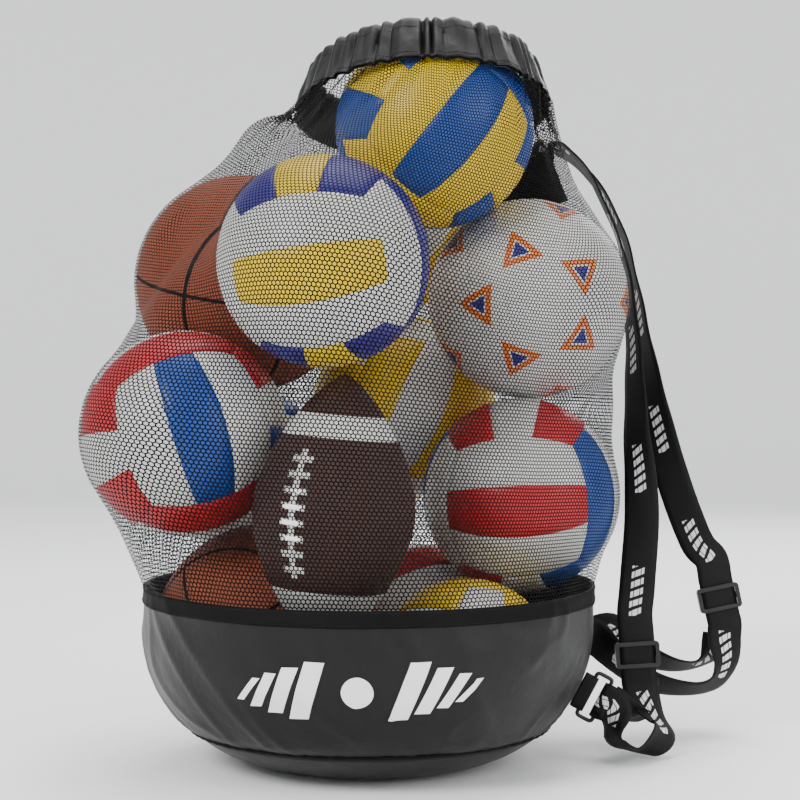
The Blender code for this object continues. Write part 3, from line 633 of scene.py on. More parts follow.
def mouth_point(azimuth, height):
    """A point on the casing, at a height from its lower edge, 0, to its top edge, 1."""
    centre, facing, backward = mouth_frame()
    off = math.radians(azimuth - MOUTH_SAG_AZIMUTH)
    sag = MOUTH_SAG * math.exp(2.2 * (math.cos(off) - 1))
    out = MOUTH_RADIUS + sag + CASING_TAPER * (0.5 - height)
    turn = math.radians(azimuth)
    along = np.array((math.sin(turn), 0, 0)) - backward * math.cos(turn)
    return centre + along * out + facing * CASING_HEIGHT * (height - 0.5)


def casing_place(azimuth, height, off):
    low = mouth_point(azimuth, 0.0)
    high = mouth_point(azimuth, 1.0)
    near = mouth_point(azimuth + 1, 0.5) - mouth_point(azimuth - 1, 0.5)
    normal = np.cross(near, high - low)
    normal /= np.linalg.norm(normal)
    return low + (high - low) * height + normal * off


def push_out(points, spheres, core):
    """Moves points inside a sphere outwards, away from a line up the middle of the load."""
    low, high = core
    line = high - low
    share = (((points - low) * line).sum(axis=-1, keepdims=True) / (line @ line)).clip(0, 1)
    outwards = unit(points - low - share * line)
    for centre, radius in spheres:
        away = points - centre
        inside = (away * away).sum(axis=-1, keepdims=True) - radius**2
        along = (away * outwards).sum(axis=-1, keepdims=True)
        step = np.sqrt(np.maximum(0, along**2 - inside)) - along
        points = np.where(inside < 0, points + outwards * step, points)
    return points


def finer(rows):
    """Twice the rows and columns, with midpoints between."""
    across = (rows + np.roll(rows, -1, axis=1)) / 2
    wide = np.stack([rows, across], axis=2).reshape(rows.shape[0], -1, 3)
    between = (wide[1:] + wide[:-1]) / 2
    tall = np.empty((wide.shape[0] * 2 - 1, *wide.shape[1:]))
    tall[::2] = wide
    tall[1::2] = between
    return tall


def edge_rows(columns):
    turns = np.arange(columns) * 360 / columns
    edge = SKIRT_RADIUS - FABRIC / 2
    bottom = np.array([outward(a) * edge + (0, 0, SKIRT_TOP - 0.006) for a in turns])
    return bottom, np.array([mouth_point(a, 0.03) for a in turns]), turns


DRAPED = {}


def drape(sizes):
    """The net's surface, settled on the load: rows from the skirt up to the casing, columns round."""
    if "surface" in DRAPED:
        return DRAPED["surface"]
    bottom, top, turns = edge_rows(48)
    share = np.linspace(0, 1, 16)[:, None, None]
    rows = bottom * (1 - share) + top * share
    rows = rows + np.array([outward(a) for a in turns]) * 0.16 * np.sin(np.pi * share) ** 0.6
    spheres = load_spheres(sizes.clearance) + [(np.array(c), r) for c, r in LOOSE_PUFFS]
    top_ball, radius = ball_of("volleyball_top")
    core = (np.array((0, 0, SKIRT_TOP)), top_ball - (0, 0, 2 * radius))
    for level, steps in enumerate((260, 90, 50)):
        if level:
            rows = finer(rows)
            rows[0], rows[-1], _ = edge_rows(rows.shape[1])
        for _ in range(steps):
            beside = (np.roll(rows, 1, axis=1) + np.roll(rows, -1, axis=1)) / 2
            above = (rows[2:] + rows[:-2]) / 2
            rows[1:-1] = rows[1:-1] * 0.4 + beside[1:-1] * 0.25 + above * 0.35
            rows[1:-1] = push_out(rows[1:-1], spheres, core)
            rows[1:-1, :, 2] = np.maximum(rows[1:-1, :, 2], SKIRT_TOP - 0.004)
    rows = rippled(rows, spheres, sizes)
    rows[1:-1] = push_out(rows[1:-1], spheres, core)
    DRAPED["surface"] = (rows, facing_out(rows))
    return DRAPED["surface"]


def rippled(rows, spheres, sizes):
    """Pleats that run down from the casing, and loose folds where no ball fills the net."""
    count, columns = rows.shape[:2]
    normals = facing_out(rows)
    room = np.full(rows.shape[:2], 1.0)
    for centre, radius in spheres[: -len(LOOSE_PUFFS)]:
        room = np.minimum(room, np.linalg.norm(rows - centre, axis=-1) - radius)
    loose = (room / 0.02).clip(0, 1)[..., None]
    share = np.linspace(0, 1, count)[:, None]
    turn = (np.arange(columns) * math.tau / columns)[None, :]
    wander = np.array([noise.noise(Vector((math.cos(t) * 3, math.sin(t) * 3, 0.4))) for t in turn[0]])
    pleat = np.sin(turn * 31 + wander[None, :] * 5) + 0.5 * np.sin(turn * 53 + 1.0)
    near_top = ((share - 0.80) / 0.20).clip(0, 1) ** 1.5
    low = ((0.10 - share) / 0.10).clip(0, 1)
    tucks = np.sin(turn * 24 + share * 9 + 2.0) * 0.4 * low
    folds = [
        [noise.noise(Vector((3.1 * math.cos(t) + s, 3.1 * math.sin(t), 7 * s))) for t in turn[0]]
        for s in share[:, 0]
    ]
    folds = np.array(folds)
    depth = pleat * near_top * sizes.pleat_depth + tucks * sizes.pleat_depth
    depth = depth[..., None] + folds[..., None] * 0.010 * loose * np.sin(np.pi * share)[..., None]
    return rows + normals * depth


def facing_out(rows):
    around = np.roll(rows, -1, axis=1) - np.roll(rows, 1, axis=1)
    normal = unit(np.cross(around, np.gradient(rows, axis=0)))
    return normal


def net_at(sizes, turns, shares, lift):
    """Points on the net at shares of a turn from the front and of the way up, lifted off it."""
    rows, normals = drape(sizes)
    count, columns = rows.shape[:2]
    column = (np.asarray(turns) % 1.0) * columns
    row = np.clip(shares, 0, 1) * (count - 1)
    c0 = np.floor(column).astype(int) % columns
    r0 = np.minimum(np.floor(row).astype(int), count - 2)
    fc = (column - np.floor(column))[..., None]
    fr = (row - r0)[..., None]
    c1 = (c0 + 1) % columns

    def pick(grid):
        low = grid[r0, c0] * (1 - fc) + grid[r0, c1] * fc
        high = grid[r0 + 1, c0] * (1 - fc) + grid[r0 + 1, c1] * fc
        return low * (1 - fr) + high * fr

    return pick(rows) + unit(pick(normals)) * lift


def net_band(sizes):
    """One flat-knitted band of six-sided cells, closed round a cylinder, with a hole in each cell."""
    rows = sizes.cell_rows // sizes.bands
    columns = 2 * sizes.cells_round
    side = sizes.cell_side
    radius = columns * side * math.sqrt(3) / 2 / math.tau
    bm = bmesh.new()
    column_of = bm.verts.layers.int.new("column")
    row_of = bm.verts.layers.int.new("row")
    bmesh.ops.create_grid(bm, x_segments=columns, y_segments=rows, size=1.0)
    for vert in bm.verts:
        column = round((vert.co.x + 1) / 2 * columns)
        row = round((vert.co.y + 1) / 2 * rows)
        vert[column_of], vert[row_of] = column % columns, row
        turn = math.tau * column / columns
        shift = -0.25 if (column + row) % 2 else 0.25
        vert.co = (math.sin(turn) * radius, -math.cos(turn) * radius, (row * 1.5 + shift) * side)
    bmesh.ops.remove_doubles(bm, verts=bm.verts, dist=side * 1e-3)
    spare = []
    for edge in bm.edges:
        first, second = edge.verts
        if first[column_of] == second[column_of] and (
            first[column_of] + min(first[row_of], second[row_of])
        ) % 2:
            spare.append(edge)
    bmesh.ops.dissolve_edges(bm, edges=spare, use_verts=False)
    bmesh.ops.recalc_face_normals(bm, faces=bm.faces)
    cells = bm.faces[:]
    if cells[0].normal.dot(cells[0].calc_center_median() * Vector((1, 1, 0))) < 0:
        bmesh.ops.reverse_faces(bm, faces=cells)
    bmesh.ops.inset_individual(bm, faces=cells, thickness=sizes.thread_half, use_even_offset=True)
    bmesh.ops.delete(bm, geom=cells, context="FACES")
    mesh = bpy.data.meshes.new("net_band")
    bm.to_mesh(mesh)
    bm.free()
    return mesh, rows * 1.5 * side


class BALLBAG_OT_net(bpy.types.Operator):
    """Knits the net in bands and drapes it over the load"""

    bl_idname = "ball_bag.net"
    bl_label = "Draped Net"

    def execute(self, context):
        sizes = context.scene.ball_bag_sizes
        look = thread_material("knitted_net", tuple(context.scene.ball_bag_colours.net), 0.55)
        band, height = net_band(sizes)
        flat = np.empty(len(band.vertices) * 3)
        band.vertices.foreach_get("co", flat)
        flat = flat.reshape(-1, 3)
        turns = np.arctan2(flat[:, 0], -flat[:, 1]) / math.tau
        for number in range(sizes.bands):
            shares = (flat[:, 2] + number * height) / (height * sizes.bands)
            points = net_at(sizes, turns, shares, 0.0)
            mesh = band.copy()
            mesh.vertices.foreach_set("co", points.ravel())
            mesh.update()
            name = f"net_band_{number + 1:02d}"
            net = placed(name, mesh, [look], "bag", ("net_front", "net_back"))
        bpy.data.meshes.remove(band)
        return {"FINISHED"}


# ---- Balls


def strip_line(cell):
    """Place of a grid line in quarter turns, with the lines beside a seam drawn close to it."""
    third = STRIP_CELLS // 3
    near = round(cell / third) * third
    if abs(cell - near) == 1:
        cell = near + (cell - near) * 0.22
    return cell / STRIP_CELLS * 2 - 1


def strip_ball(name, looks, groove):
    """Three strips on each face of a cube, blown up into a ball with a groove at each seam."""
    turn, letters_of_sides = STRIP_BALLS[name]
    strips = dict(zip(STRIP_SIDES, letters_of_sides.split()))
    centre, radius = ball_of(name)
    turn = Matrix.Rotation(math.radians(turn[2]), 3, "Z") @ (
        Matrix.Rotation(math.radians(turn[0]), 3, "X") @ Matrix.Rotation(math.radians(turn[1]), 3, "Y")
    )
    bm = bmesh.new()
    bmesh.ops.create_cube(bm, size=2.0)
    bmesh.ops.subdivide_edges(bm, edges=bm.edges, cuts=STRIP_CELLS - 1, use_grid_fill=True)
    letters = "WBYRV"
    divided = {0: 2, 1: 0, 2: 1}  # the axis that each face's strips are counted along
    for face in bm.faces:
        middle = face.calc_center_median()
        axis = max(range(3), key=lambda i: abs(middle[i]))
        side = ("-" if middle[axis] < 0 else "+") + "XYZ"[axis]
        strip = min(2, int((middle[divided[axis]] + 1) / 2 * 3))
        face.material_index = letters.index(strips[side][strip])
    for vert in bm.verts:
        cells = [round((c + 1) / 2 * STRIP_CELLS) for c in vert.co]
        on_side = [i for i in range(3) if cells[i] in (0, STRIP_CELLS)]
        line = cells[divided[on_side[0]]]
        seam = len(on_side) > 1 or line in (STRIP_CELLS // 3, 2 * STRIP_CELLS // 3)
        warped = [math.tan(strip_line(c) * math.pi / 4) for c in cells]
        out = Vector(warped).normalized() * (radius - (groove if seam else 0.0))
        vert.co = Vector(centre) + turn @ out
    return put(
        name.replace("volleyball", "volley") + "_skin",
        bm,
        looks,
        angle=80.0,
        replaces=(name,),
    )


def round_ball(radius, cells=36):
    bm = bmesh.new()
    bmesh.ops.create_cube(bm, size=2.0)
    bmesh.ops.subdivide_edges(bm, edges=bm.edges, cuts=cells - 1, use_grid_fill=True)
    for vert in bm.verts:
        vert.co = Vector([math.tan(c * math.pi / 4) for c in vert.co]).normalized() * radius
    return bm


def channel(bm, normal, offset, half, depth, radius):
    """Cuts a channel where a plane meets a ball at the origin, and gives it the second material."""
    for shift in (-half, 0.0, half):
        bmesh.ops.bisect_plane(
            bm,
            geom=bm.verts[:] + bm.edges[:] + bm.faces[:],
            dist=1e-7,
            plane_co=normal * (offset + shift),
            plane_no=normal,
        )
    for vert in bm.verts:
        if abs(vert.co.dot(normal) - offset) < 1e-5:
            vert.co = vert.co.normalized() * (radius - depth)
    for face in bm.faces:
        if abs(face.calc_center_median().dot(normal) - offset) < half:
            face.material_index = 1


def basketball(name, looks, turn):
    centre, radius = ball_of(name)
    bm = round_ball(radius)
    for normal, offset in (
        (Vector((1, 0, 0)), 0.0),
        (Vector((0, 0, 1)), 0.0),
        (Vector((0, 1, 0)), 0.56 * radius),
        (Vector((0, 1, 0)), -0.56 * radius),
    ):
        channel(bm, normal, offset, 0.0019, 0.0017, radius)
    turned = Matrix.Translation(Vector(centre)) @ turn.to_4x4()
    bmesh.ops.transform(bm, matrix=turned, verts=bm.verts)
    return put(f"{name}_skin", bm, looks, angle=80.0, replaces=(name,))


def soccer_skin(name, looks, groove):
    """Twelve five-sided and twenty six-sided panels, with a groove at each seam."""
    centre, radius = ball_of(name)
    bm = bmesh.new()
    bmesh.ops.create_icosphere(bm, subdivisions=1, radius=1.0)
    bmesh.ops.bevel(
        bm,
        geom=bm.verts[:],
        offset=33.3333,
        offset_type="PERCENT",
        segments=1,
        profile=0.5,
        affect="VERTICES",
        material=-1,
    )
    bmesh.ops.remove_doubles(bm, verts=bm.verts, dist=0.01)
    bm.normal_update()
    planes = [(face.normal.copy(), face.normal.dot(face.verts[0].co)) for face in bm.faces]
    panels = bm.faces[:]
    bmesh.ops.inset_individual(bm, faces=panels, thickness=0.012, use_even_offset=True)
    bmesh.ops.poke(bm, faces=panels)
    long = [edge for edge in bm.edges if edge.calc_length() > 0.1]
    bmesh.ops.subdivide_edges(bm, edges=long, cuts=11, use_grid_fill=True)
    aim = Vector((0, 0, 1)).rotation_difference(Vector((0.02, -1.0, -0.10))).to_matrix() @ Matrix.Rotation(
        0.33, 3, "Z"
    )
    first = max(planes, key=lambda plane: plane[0].z + (1.0 if plane[1] > 0.93 else 0.0))[0]
    turn = aim @ first.rotation_difference(Vector((0, 0, 1))).to_matrix()
    for vert in bm.verts:
        seam = sum(abs(vert.co.dot(normal) - height) < 1e-4 for normal, height in planes) > 1
        vert.co = Vector(centre) + turn @ vert.co.normalized() * (radius - (groove if seam else 0.0))
    bmesh.ops.recalc_face_normals(bm, faces=bm.faces)
    put("soccer_skin", bm, looks[:1], angle=80.0, replaces=(name,))
    soccer_marks(centre, radius, aim, looks)


def soccer_marks(centre, radius, turn, looks):
    """Printed triangles round the front panel: an outline, and a smaller solid one inside it."""
    bm = bmesh.new()
    for tilt, count, phase, heading in (
        (33.0, 5, 90.0, 180.0), (72.0, 5, 54.0, 0.0), (116.0, 5, 90.0, 180.0), (150.0, 4, 45.0, 0.0)
    ):
        for number in range(count):
            around = math.radians(360 / count * number + phase)
            lean = math.radians(tilt)
            out = Vector(
                (math.sin(lean) * math.cos(around), math.sin(lean) * math.sin(around), math.cos(lean))
            )
            for size, hole, look in ((0.0270, 0.0150, 0), (0.0110, 0.0002, 1)):
                triangle_mark(bm, out, math.radians(heading), size, hole, look, radius)
    bmesh.ops.transform(bm, matrix=Matrix.Translation(Vector(centre)) @ turn.to_4x4(), verts=bm.verts)
    bm.normal_update()
    inward = [face for face in bm.faces if face.normal.dot(face.calc_center_median() - Vector(centre)) < 0]
    bmesh.ops.reverse_faces(bm, faces=inward)
    put("soccer_marks", bm, looks[1:], angle=80.0)


def triangle_mark(bm, out, heading, size, hole, look, radius):
    """A three-cornered mark laid on a ball about the origin, as strips from its hole to its rim."""
    pole = Vector((0, 0, 1))
    along = (pole - out * out.dot(pole)).normalized()
    side = out.cross(along)
    ring = []
    for number in range(24):
        corner, share = divmod(number, 8)
        ends = [math.radians(120 * (corner + more)) + heading for more in (0, 1)]
        first, second = (Vector((math.cos(e), math.sin(e))) for e in ends)
        ring.append(first.lerp(second, share / 8))
    rows = []
    for step in range(5):
        reach = hole + (size - hole) * step / 4
        places = [
            (out * radius + along * p.x * reach + side * p.y * reach).normalized() * (radius + 0.0003)
            for p in ring
        ]
        rows.append([bm.verts.new(place) for place in places])
    for inner, outer in zip(rows, rows[1:]):
        for number in range(24):
            after = (number + 1) % 24
            bm.faces.new((inner[number], outer[number], outer[after], inner[after])).material_index = look


def football_point(azimuth, along, lift):
    """A point of the football's skin at an azimuth and a distance along its axis."""
    centre, turn = football_frame()
    around = outward(azimuth) * (football_radius(along) + lift)
    return centre + turn @ Vector((around[0], around[1], along))


def football(looks, groove):
    bm = bmesh.new()
    bmesh.ops.create_uvsphere(bm, u_segments=64, v_segments=60, radius=1.0)
    centre, turn = football_frame()
    half = FOOTBALL_LENGTH / 2
    for face in bm.faces:
        height = abs(face.calc_center_median().z)
        face.material_index = 1 if 0.56 < height < 0.70 else 0
    for vert in bm.verts:
        along = vert.co.z * half
        around = math.degrees(math.atan2(vert.co.x, -vert.co.y))
        seam = abs((around + 28.125 + 45) % 90 - 45) < 0.5
        out = math.hypot(vert.co.x, vert.co.y)
        grown = football_radius(along) - (groove if seam else 0.0)
        scale = max(grown, 0.0) / out if out > 1e-6 else 0.0
        vert.co = centre + turn @ Vector((vert.co.x * scale, vert.co.y * scale, along))
    put("football_skin", bm, looks[:2], angle=80.0, replaces=("american_football",))
    laces(looks[1])


def laces(look):
    """The lace: a flat run along the seam, and eight crossings over it."""
    seam = -28.125
    bm = bmesh.new()
    pads = [(seam - 2.6, seam + 2.6, -0.062, 0.062, 0.0012, 30)]
    for number in range(8):
        at = -0.053 + 0.106 * number / 7
        pads.append((seam - 9.5, seam + 9.5, at - 0.0032, at + 0.0032, 0.0030, 8))
    for left, right, low, high, rise, count in pads:
        points = []
        for share in np.linspace(0, 1, count):
            row = []
            for step in np.linspace(0, 1, 12):
                bulge = rise * max(0.0, 1 - abs(2 * step - 1) ** 4) * max(0.0, 1 - abs(2 * share - 1) ** 6)
                row.append(
                    football_point(left + (right - left) * step, low + (high - low) * share, bulge + 0.0001)
                )
            points.append(row)
        part = grid_mesh(np.array(points))
        mesh = bpy.data.meshes.new("lace")
        part.to_mesh(mesh)
        part.free()
        bm.from_mesh(mesh)
        bpy.data.meshes.remove(mesh)
    put("football_laces", bm, [look], angle=60.0)


class BALLBAG_OT_load(bpy.types.Operator):
    """Makes the skins of the balls in the bag"""

    bl_idname = "ball_bag.load"
    bl_label = "Load of Balls"

    def execute(self, context):
        sizes = context.scene.ball_bag_sizes
        hues = context.scene.ball_bag_colours
        panels = [
            panel_material(f"{n}_panel", tuple(getattr(hues, n)))
            for n in ("white", "blue", "yellow", "red", "violet")
        ]
        for name in STRIP_BALLS:
            strip_ball(name, panels, sizes.groove)
        rubber = pebbled_material("basketball_rubber", tuple(hues.rubber), 520.0, 0.55, 0.55)
        black = thread_material("channel_rubber", (0.012, 0.012, 0.012), 0.6)
        basketball(
            "basketball_upper",
            [rubber, black],
            Matrix.Rotation(0.5, 3, "Z") @ Matrix.Rotation(0.25, 3, "X"),
        )
        basketball(
            "basketball_lower",
            [rubber, black],
            Matrix.Rotation(-0.4, 3, "Z") @ Matrix.Rotation(0.9, 3, "Y"),
        )
        marks = [panels[0], panel_material("orange_mark", tuple(hues.orange)), panels[4]]
        soccer_skin("soccer_ball_front", marks, sizes.groove)
        hide = pebbled_material("football_hide", tuple(hues.leather), 620.0, 0.6, 0.5)
        football([hide, panel_material("football_white", (0.74, 0.73, 0.70))], sizes.groove)
        return {"FINISHED"}


# ---- Skirt, base and trim


def corner_point(angle):
    turn = math.radians(angle)
    middle = SKIRT_RADIUS - CORNER_RADIUS
    return middle + CORNER_RADIUS * math.sin(turn), CORNER_RADIUS * (1 - math.cos(turn))


def skirt_profile(share):
    """Radius, height and outward normal on the skirt, from the base seam, 0, to its top edge, 1."""
    arc = math.radians(90 - SEAM_ANGLE) * CORNER_RADIUS
    wall = SKIRT_TOP - CORNER_RADIUS
    at = share * (arc + wall)
    if at <= arc:
        angle = SEAM_ANGLE + math.degrees(at / CORNER_RADIUS)
        out, height = corner_point(angle)
        turn = math.radians(angle)
        return out, height, math.sin(turn), -math.cos(turn)
    return SKIRT_RADIUS, CORNER_RADIUS + at - arc, 1.0, 0.0


def skirt_wrinkle(azimuth, share):
    """How far the skirt's soft cloth stands out, from 0 to about 1."""
    turn = math.radians(azimuth)
    x, y = math.sin(turn) * 2.2, -math.cos(turn) * 2.2
    slant = share * 1.1
    broad = noise.noise(Vector((x * 0.8 + slant, y * 0.8 - slant, share * 1.3)))
    crease = 1 - abs(noise.noise(Vector((x * 2.0 + slant * 1.6, y * 2.0 - slant, share * 0.8 + 4.0)))) * 3.2
    hang = math.sin(turn * 13 + share * 2.6 + broad * 3) * 0.5 + 0.5
    pucker = math.sin(turn * 74 + broad * 6) * 0.5 + 0.5
    value = 0.45 * (broad + 0.5) + 0.38 * max(0.0, crease) ** 2 + 0.22 * hang * (0.3 + 0.7 * share)
    value += 0.16 * pucker * (math.exp(-share * 18) + math.exp(-(1 - share) * 22))
    for strap in STRAPS.values():
        off = (azimuth - strap["ring_azimuth"] + 180) % 360 - 180
        value *= 1 - math.exp(-((off / 9) ** 2))
    return value


def skirt_point(azimuth, share, lift, depth):
    out, height, rise_out, rise_up = skirt_profile(share)
    off = lift + depth * skirt_wrinkle(azimuth, share) * min(1.0, share * 9 + 0.15) * min(
        1.0, (1 - share) * 8 + 0.25
    )
    place = outward(azimuth) * (out + rise_out * off)
    return (place[0], place[1], height + rise_up * off)


def stitches(name, places, normals, length, look, body="bag"):
    """A row of thread stitches laid along places on a surface."""
    bm = bmesh.new()
    for first, second, normal in zip(places, places[1:], normals):
        along = Vector(second) - Vector(first)
        ahead = along.normalized()
        out = Vector(normal).normalized()
        side = ahead.cross(out)
        middle = (Vector(first) + Vector(second)) / 2
        made = bmesh.ops.create_uvsphere(bm, u_segments=6, v_segments=4, radius=0.5)["verts"]
        for vert in made:
            x, y, z = vert.co
            vert.co = middle + ahead * z * length + side * x * 0.0009 + out * (y * 0.0007 + 0.0001)
    return put(name, bm, [look], body, angle=70.0)


class BALLBAG_OT_skirt(bpy.types.Operator):
    """Makes the wrinkled lower skirt, the base, the piping and the top hem"""

    bl_idname = "ball_bag.skirt"
    bl_label = "Skirt and Base"

    def execute(self, context):
        sizes = context.scene.ball_bag_sizes
        hues = context.scene.ball_bag_colours
        nylon = nylon_material(tuple(hues.nylon))
        tape = thread_material("binding_tape", (0.004, 0.004, 0.004), 0.6, 900.0)
        thread = thread_material("sewing_thread", (0.012, 0.012, 0.013), 0.6)
        turns = np.arange(300) * 360 / 300
        depth = sizes.wrinkle_depth
        points = [[skirt_point(a, s, 0.0, depth) for a in turns] for s in np.linspace(0.012, 1.0, 54)]
        skirt = put(
            "lower_skirt",
            grid_mesh(points, around=True),
            [nylon],
            replaces=("skirt_front", "skirt_back"),
        )
        thicken(skirt, 0.0012, -1.0)
        self.base(nylon)
        self.piping(tape)
        self.hem(tape, thread, depth)
        return {"FINISHED"}

    def base(self, nylon):
        points = []
        for angle in np.linspace(0, SEAM_ANGLE - 1.2, 18):
            out, height = corner_point(angle)
            row = []
            for azimuth in np.arange(180) * 2.0:
                turn = math.radians(azimuth)
                dip = max(0.0, noise.noise(Vector((math.sin(turn) * 3, math.cos(turn) * 3, angle * 0.05))))
                place = outward(azimuth) * out
                row.append((place[0], place[1], height + dip * 0.0012 * min(1.0, angle / 8)))
            points.append(row)
        bm = grid_mesh(points, around=True)
        rim = [e for e in bm.edges if len(e.link_faces) == 1 and max(v.co.z for v in e.verts) < 0.0005]
        bmesh.ops.holes_fill(bm, edges=rim, sides=0)
        base = put("base_disc", bm, [nylon], replaces=("base_panel",))
        thicken(base, 0.0014, -1.0)

    def piping(self, tape):
        out, height = corner_point(SEAM_ANGLE)
        turn = math.radians(SEAM_ANGLE)
        points = []
        for step in range(12):
            spin = math.tau * step / 12
            row = []
            for azimuth in np.arange(240) * 1.5:
                wave = 0.0005 * math.sin(math.radians(azimuth) * 74)
                thick = PIPING_DIAMETER / 2
                around = outward(azimuth) * (out - math.sin(turn) * 0.0004 + thick * math.cos(spin) + wave)
                row.append((around[0], around[1], height + thick * math.sin(spin) * 0.9))
            points.append(row)
        points.append(points[0])
        bm = grid_mesh(points, around=True)
        bmesh.ops.remove_doubles(bm, verts=bm.verts, dist=1e-6)
        bmesh.ops.recalc_face_normals(bm, faces=bm.faces)
        put("base_seam_piping", bm, [tape], replaces=("base_piping",))

    def hem(self, tape, thread, depth):
        turns = np.arange(300) * 360 / 300
        low = 1 - TAPE_WIDTH / 0.16
        points = [[skirt_point(a, s, 0.0011, depth) for a in turns] for s in np.linspace(low, 1.0, 6)]
        hem = put(
            "skirt_hem",
            grid_mesh(points, around=True),
            [tape],
            replaces=("skirt_top_tape",),
        )
        thicken(hem, 0.0010, 0.0)
        for number, share in enumerate((low + 0.012, 0.985)):
            spots = [skirt_point(a, share, 0.0018, depth) for a in np.arange(420) * 360 / 420]
            spots.append(spots[0])
            stitches(
                f"hem_stitches_{number + 1}",
                spots,
                [outward(a) for a in np.arange(420) * 360 / 420],
                0.0026,
                thread,
            )


# ---- Printed mark on the front


def mark_outlines():
    """The mark's shapes on the flat cloth, in metres from its middle: a row of slanted bars beside a ring."""
    shapes = []
    for side in (-1, 1):
        for near, wide, tall in ((0.040, 0.020, 0.058), (0.066, 0.016, 0.046), (0.088, 0.012, 0.034), (0.106, 0.008, 0.022)):
            left = side * near
            right = side * (near + wide)
            lean = 0.010
            low = [(left - lean, -tall / 2), (right - lean, -tall / 2)]
            shapes.append(low + [(right + lean, tall / 2), (left + lean, tall / 2)])
    return shapes


class BALLBAG_OT_mark(bpy.types.Operator):
    """Prints a plain geometric mark on the front of the skirt"""

    bl_idname = "ball_bag.mark"
    bl_label = "Printed Mark"

    def execute(self, context):
        depth = context.scene.ball_bag_sizes.wrinkle_depth
        bm = bmesh.new()
        for shape in mark_outlines():
            face = bm.faces.new([bm.verts.new((x, y, 0)) for x, y in shape])
            bmesh.ops.subdivide_edges(bm, edges=face.edges[:], cuts=11, use_grid_fill=True)
        self.ring(bm, 0.031, 0.024)
        self.ring(bm, 0.0155, 0.0)
        bmesh.ops.recalc_face_normals(bm, faces=bm.faces)
        long = 0.160
        for vert in bm.verts:
            azimuth = -2.0 + math.degrees(vert.co.x / SKIRT_RADIUS)
            share = (0.083 + vert.co.y) / long
            vert.co = skirt_point(azimuth, share, 0.0005, depth)
        for face in bm.faces:
            if face.normal.y > 0:
                face.normal_flip()
        put("front_print", bm, [ink_material()], angle=80.0)
        return {"FINISHED"}

    def ring(self, bm, outer, inner):
        made = bmesh.ops.create_circle(bm, segments=64, radius=outer, cap_ends=True)["verts"]
        face = next(iter({f for v in made for f in v.link_faces}))
        if inner:
            bmesh.ops.inset_region(bm, faces=[face], thickness=outer - inner)
            bmesh.ops.delete(bm, geom=[face], context="FACES_ONLY")
            return
        for _ in range(4):
            bmesh.ops.inset_region(bm, faces=[face], thickness=outer / 6)


# ---- Casing, drawcord and lock


def casing_room():
    return CORD_DIAMETER / 2 + CORD_ROOM


def casing_off(height, side):
    """Half the casing's thickness at a height: flat at the hem, round the cord at the top."""
    room = casing_room()
    full = 1 - 1.6 * room / CASING_HEIGHT
    if height <= full:
        swell = 0.0016 + (room - 0.0016) * (height / full) ** 1.4
    else:
        swell = room * math.sqrt(max(0.0, 1 - ((height - full) / (1 - full)) ** 2))
    return swell * side


def casing_ripple(azimuth, height, sizes):
    turn = math.radians(azimuth)
    wander = noise.noise(Vector((math.cos(turn) * 4, math.sin(turn) * 4, 1.7)))
    wave = abs(math.sin(turn * sizes.gathers / 2 + wander * 3.5 + 0.4 * height))
    fine = math.sin(turn * 61 + wander * 6 + height * 1.2)
    swing = noise.noise(Vector((math.cos(turn) * 9, math.sin(turn) * 9, height * 2)))
    return sizes.gather_depth * (wave * 1.3 - 0.62 + 0.14 * fine + 0.5 * swing) * (
        0.35 + 0.65 * math.sin(math.pi * min(1.0, height * 0.62 + 0.12))
    )


class BALLBAG_OT_casing(bpy.types.Operator):
    """Makes the gathered casing round the mouth"""

    bl_idname = "ball_bag.casing"
    bl_label = "Gathered Casing"

    def execute(self, context):
        sizes = context.scene.ball_bag_sizes
        hues = context.scene.ball_bag_colours
        nylon = nylon_material(tuple(hues.nylon))
        thread = thread_material("sewing_thread", (0.012, 0.012, 0.013), 0.6)
        turns = np.linspace(180 + CASING_SLIT / 2, 540 - CASING_SLIT / 2, 540)
        heights = [(h, 1) for h in np.linspace(0.0, 0.985, 22)] + [
            (h, -1)
            for h in np.linspace(0.985, 0.0, 22)
        ]
        points = []
        for height, side in heights:
            row = []
            for azimuth in turns:
                off = casing_off(height, side) + casing_ripple(azimuth, height, sizes)
                edge = 0.012 * noise.noise(Vector((azimuth * 0.11, height * 0.5, 3.0))) * height
                row.append(casing_place(azimuth, height + edge, off))
            points.append(row)
        casing = put(
            "gathered_casing",
            grid_mesh(points),
            [nylon],
            replaces=("mouth_casing",),
            angle=75.0,
        )
        thicken(casing, 0.0009, 0.0)
        for number, height in enumerate((0.10, 0.72)):
            spots = [
                casing_place(a, height, casing_off(height, 1) + casing_ripple(a, height, sizes) + 0.0006)
                for a in np.linspace(turns[0] + 2, turns[-1] - 2, 230)
            ]
            centre = mouth_frame()[0]
            normals = [np.array(p) - centre for p in spots]
            stitches(f"casing_stitches_{number + 1}", spots, normals, 0.0024, thread)
        return {"FINISHED"}


def cord_height():
    return 1 - 1.6 * (CORD_DIAMETER / 2 + 0.0012 + 0.0006) / CASING_HEIGHT


def lock_place():
    start = casing_place(180, cord_height(), 0.0)
    _, facing, backward = mouth_frame()
    return start + backward * LOCK_STAND_OFF, backward, facing


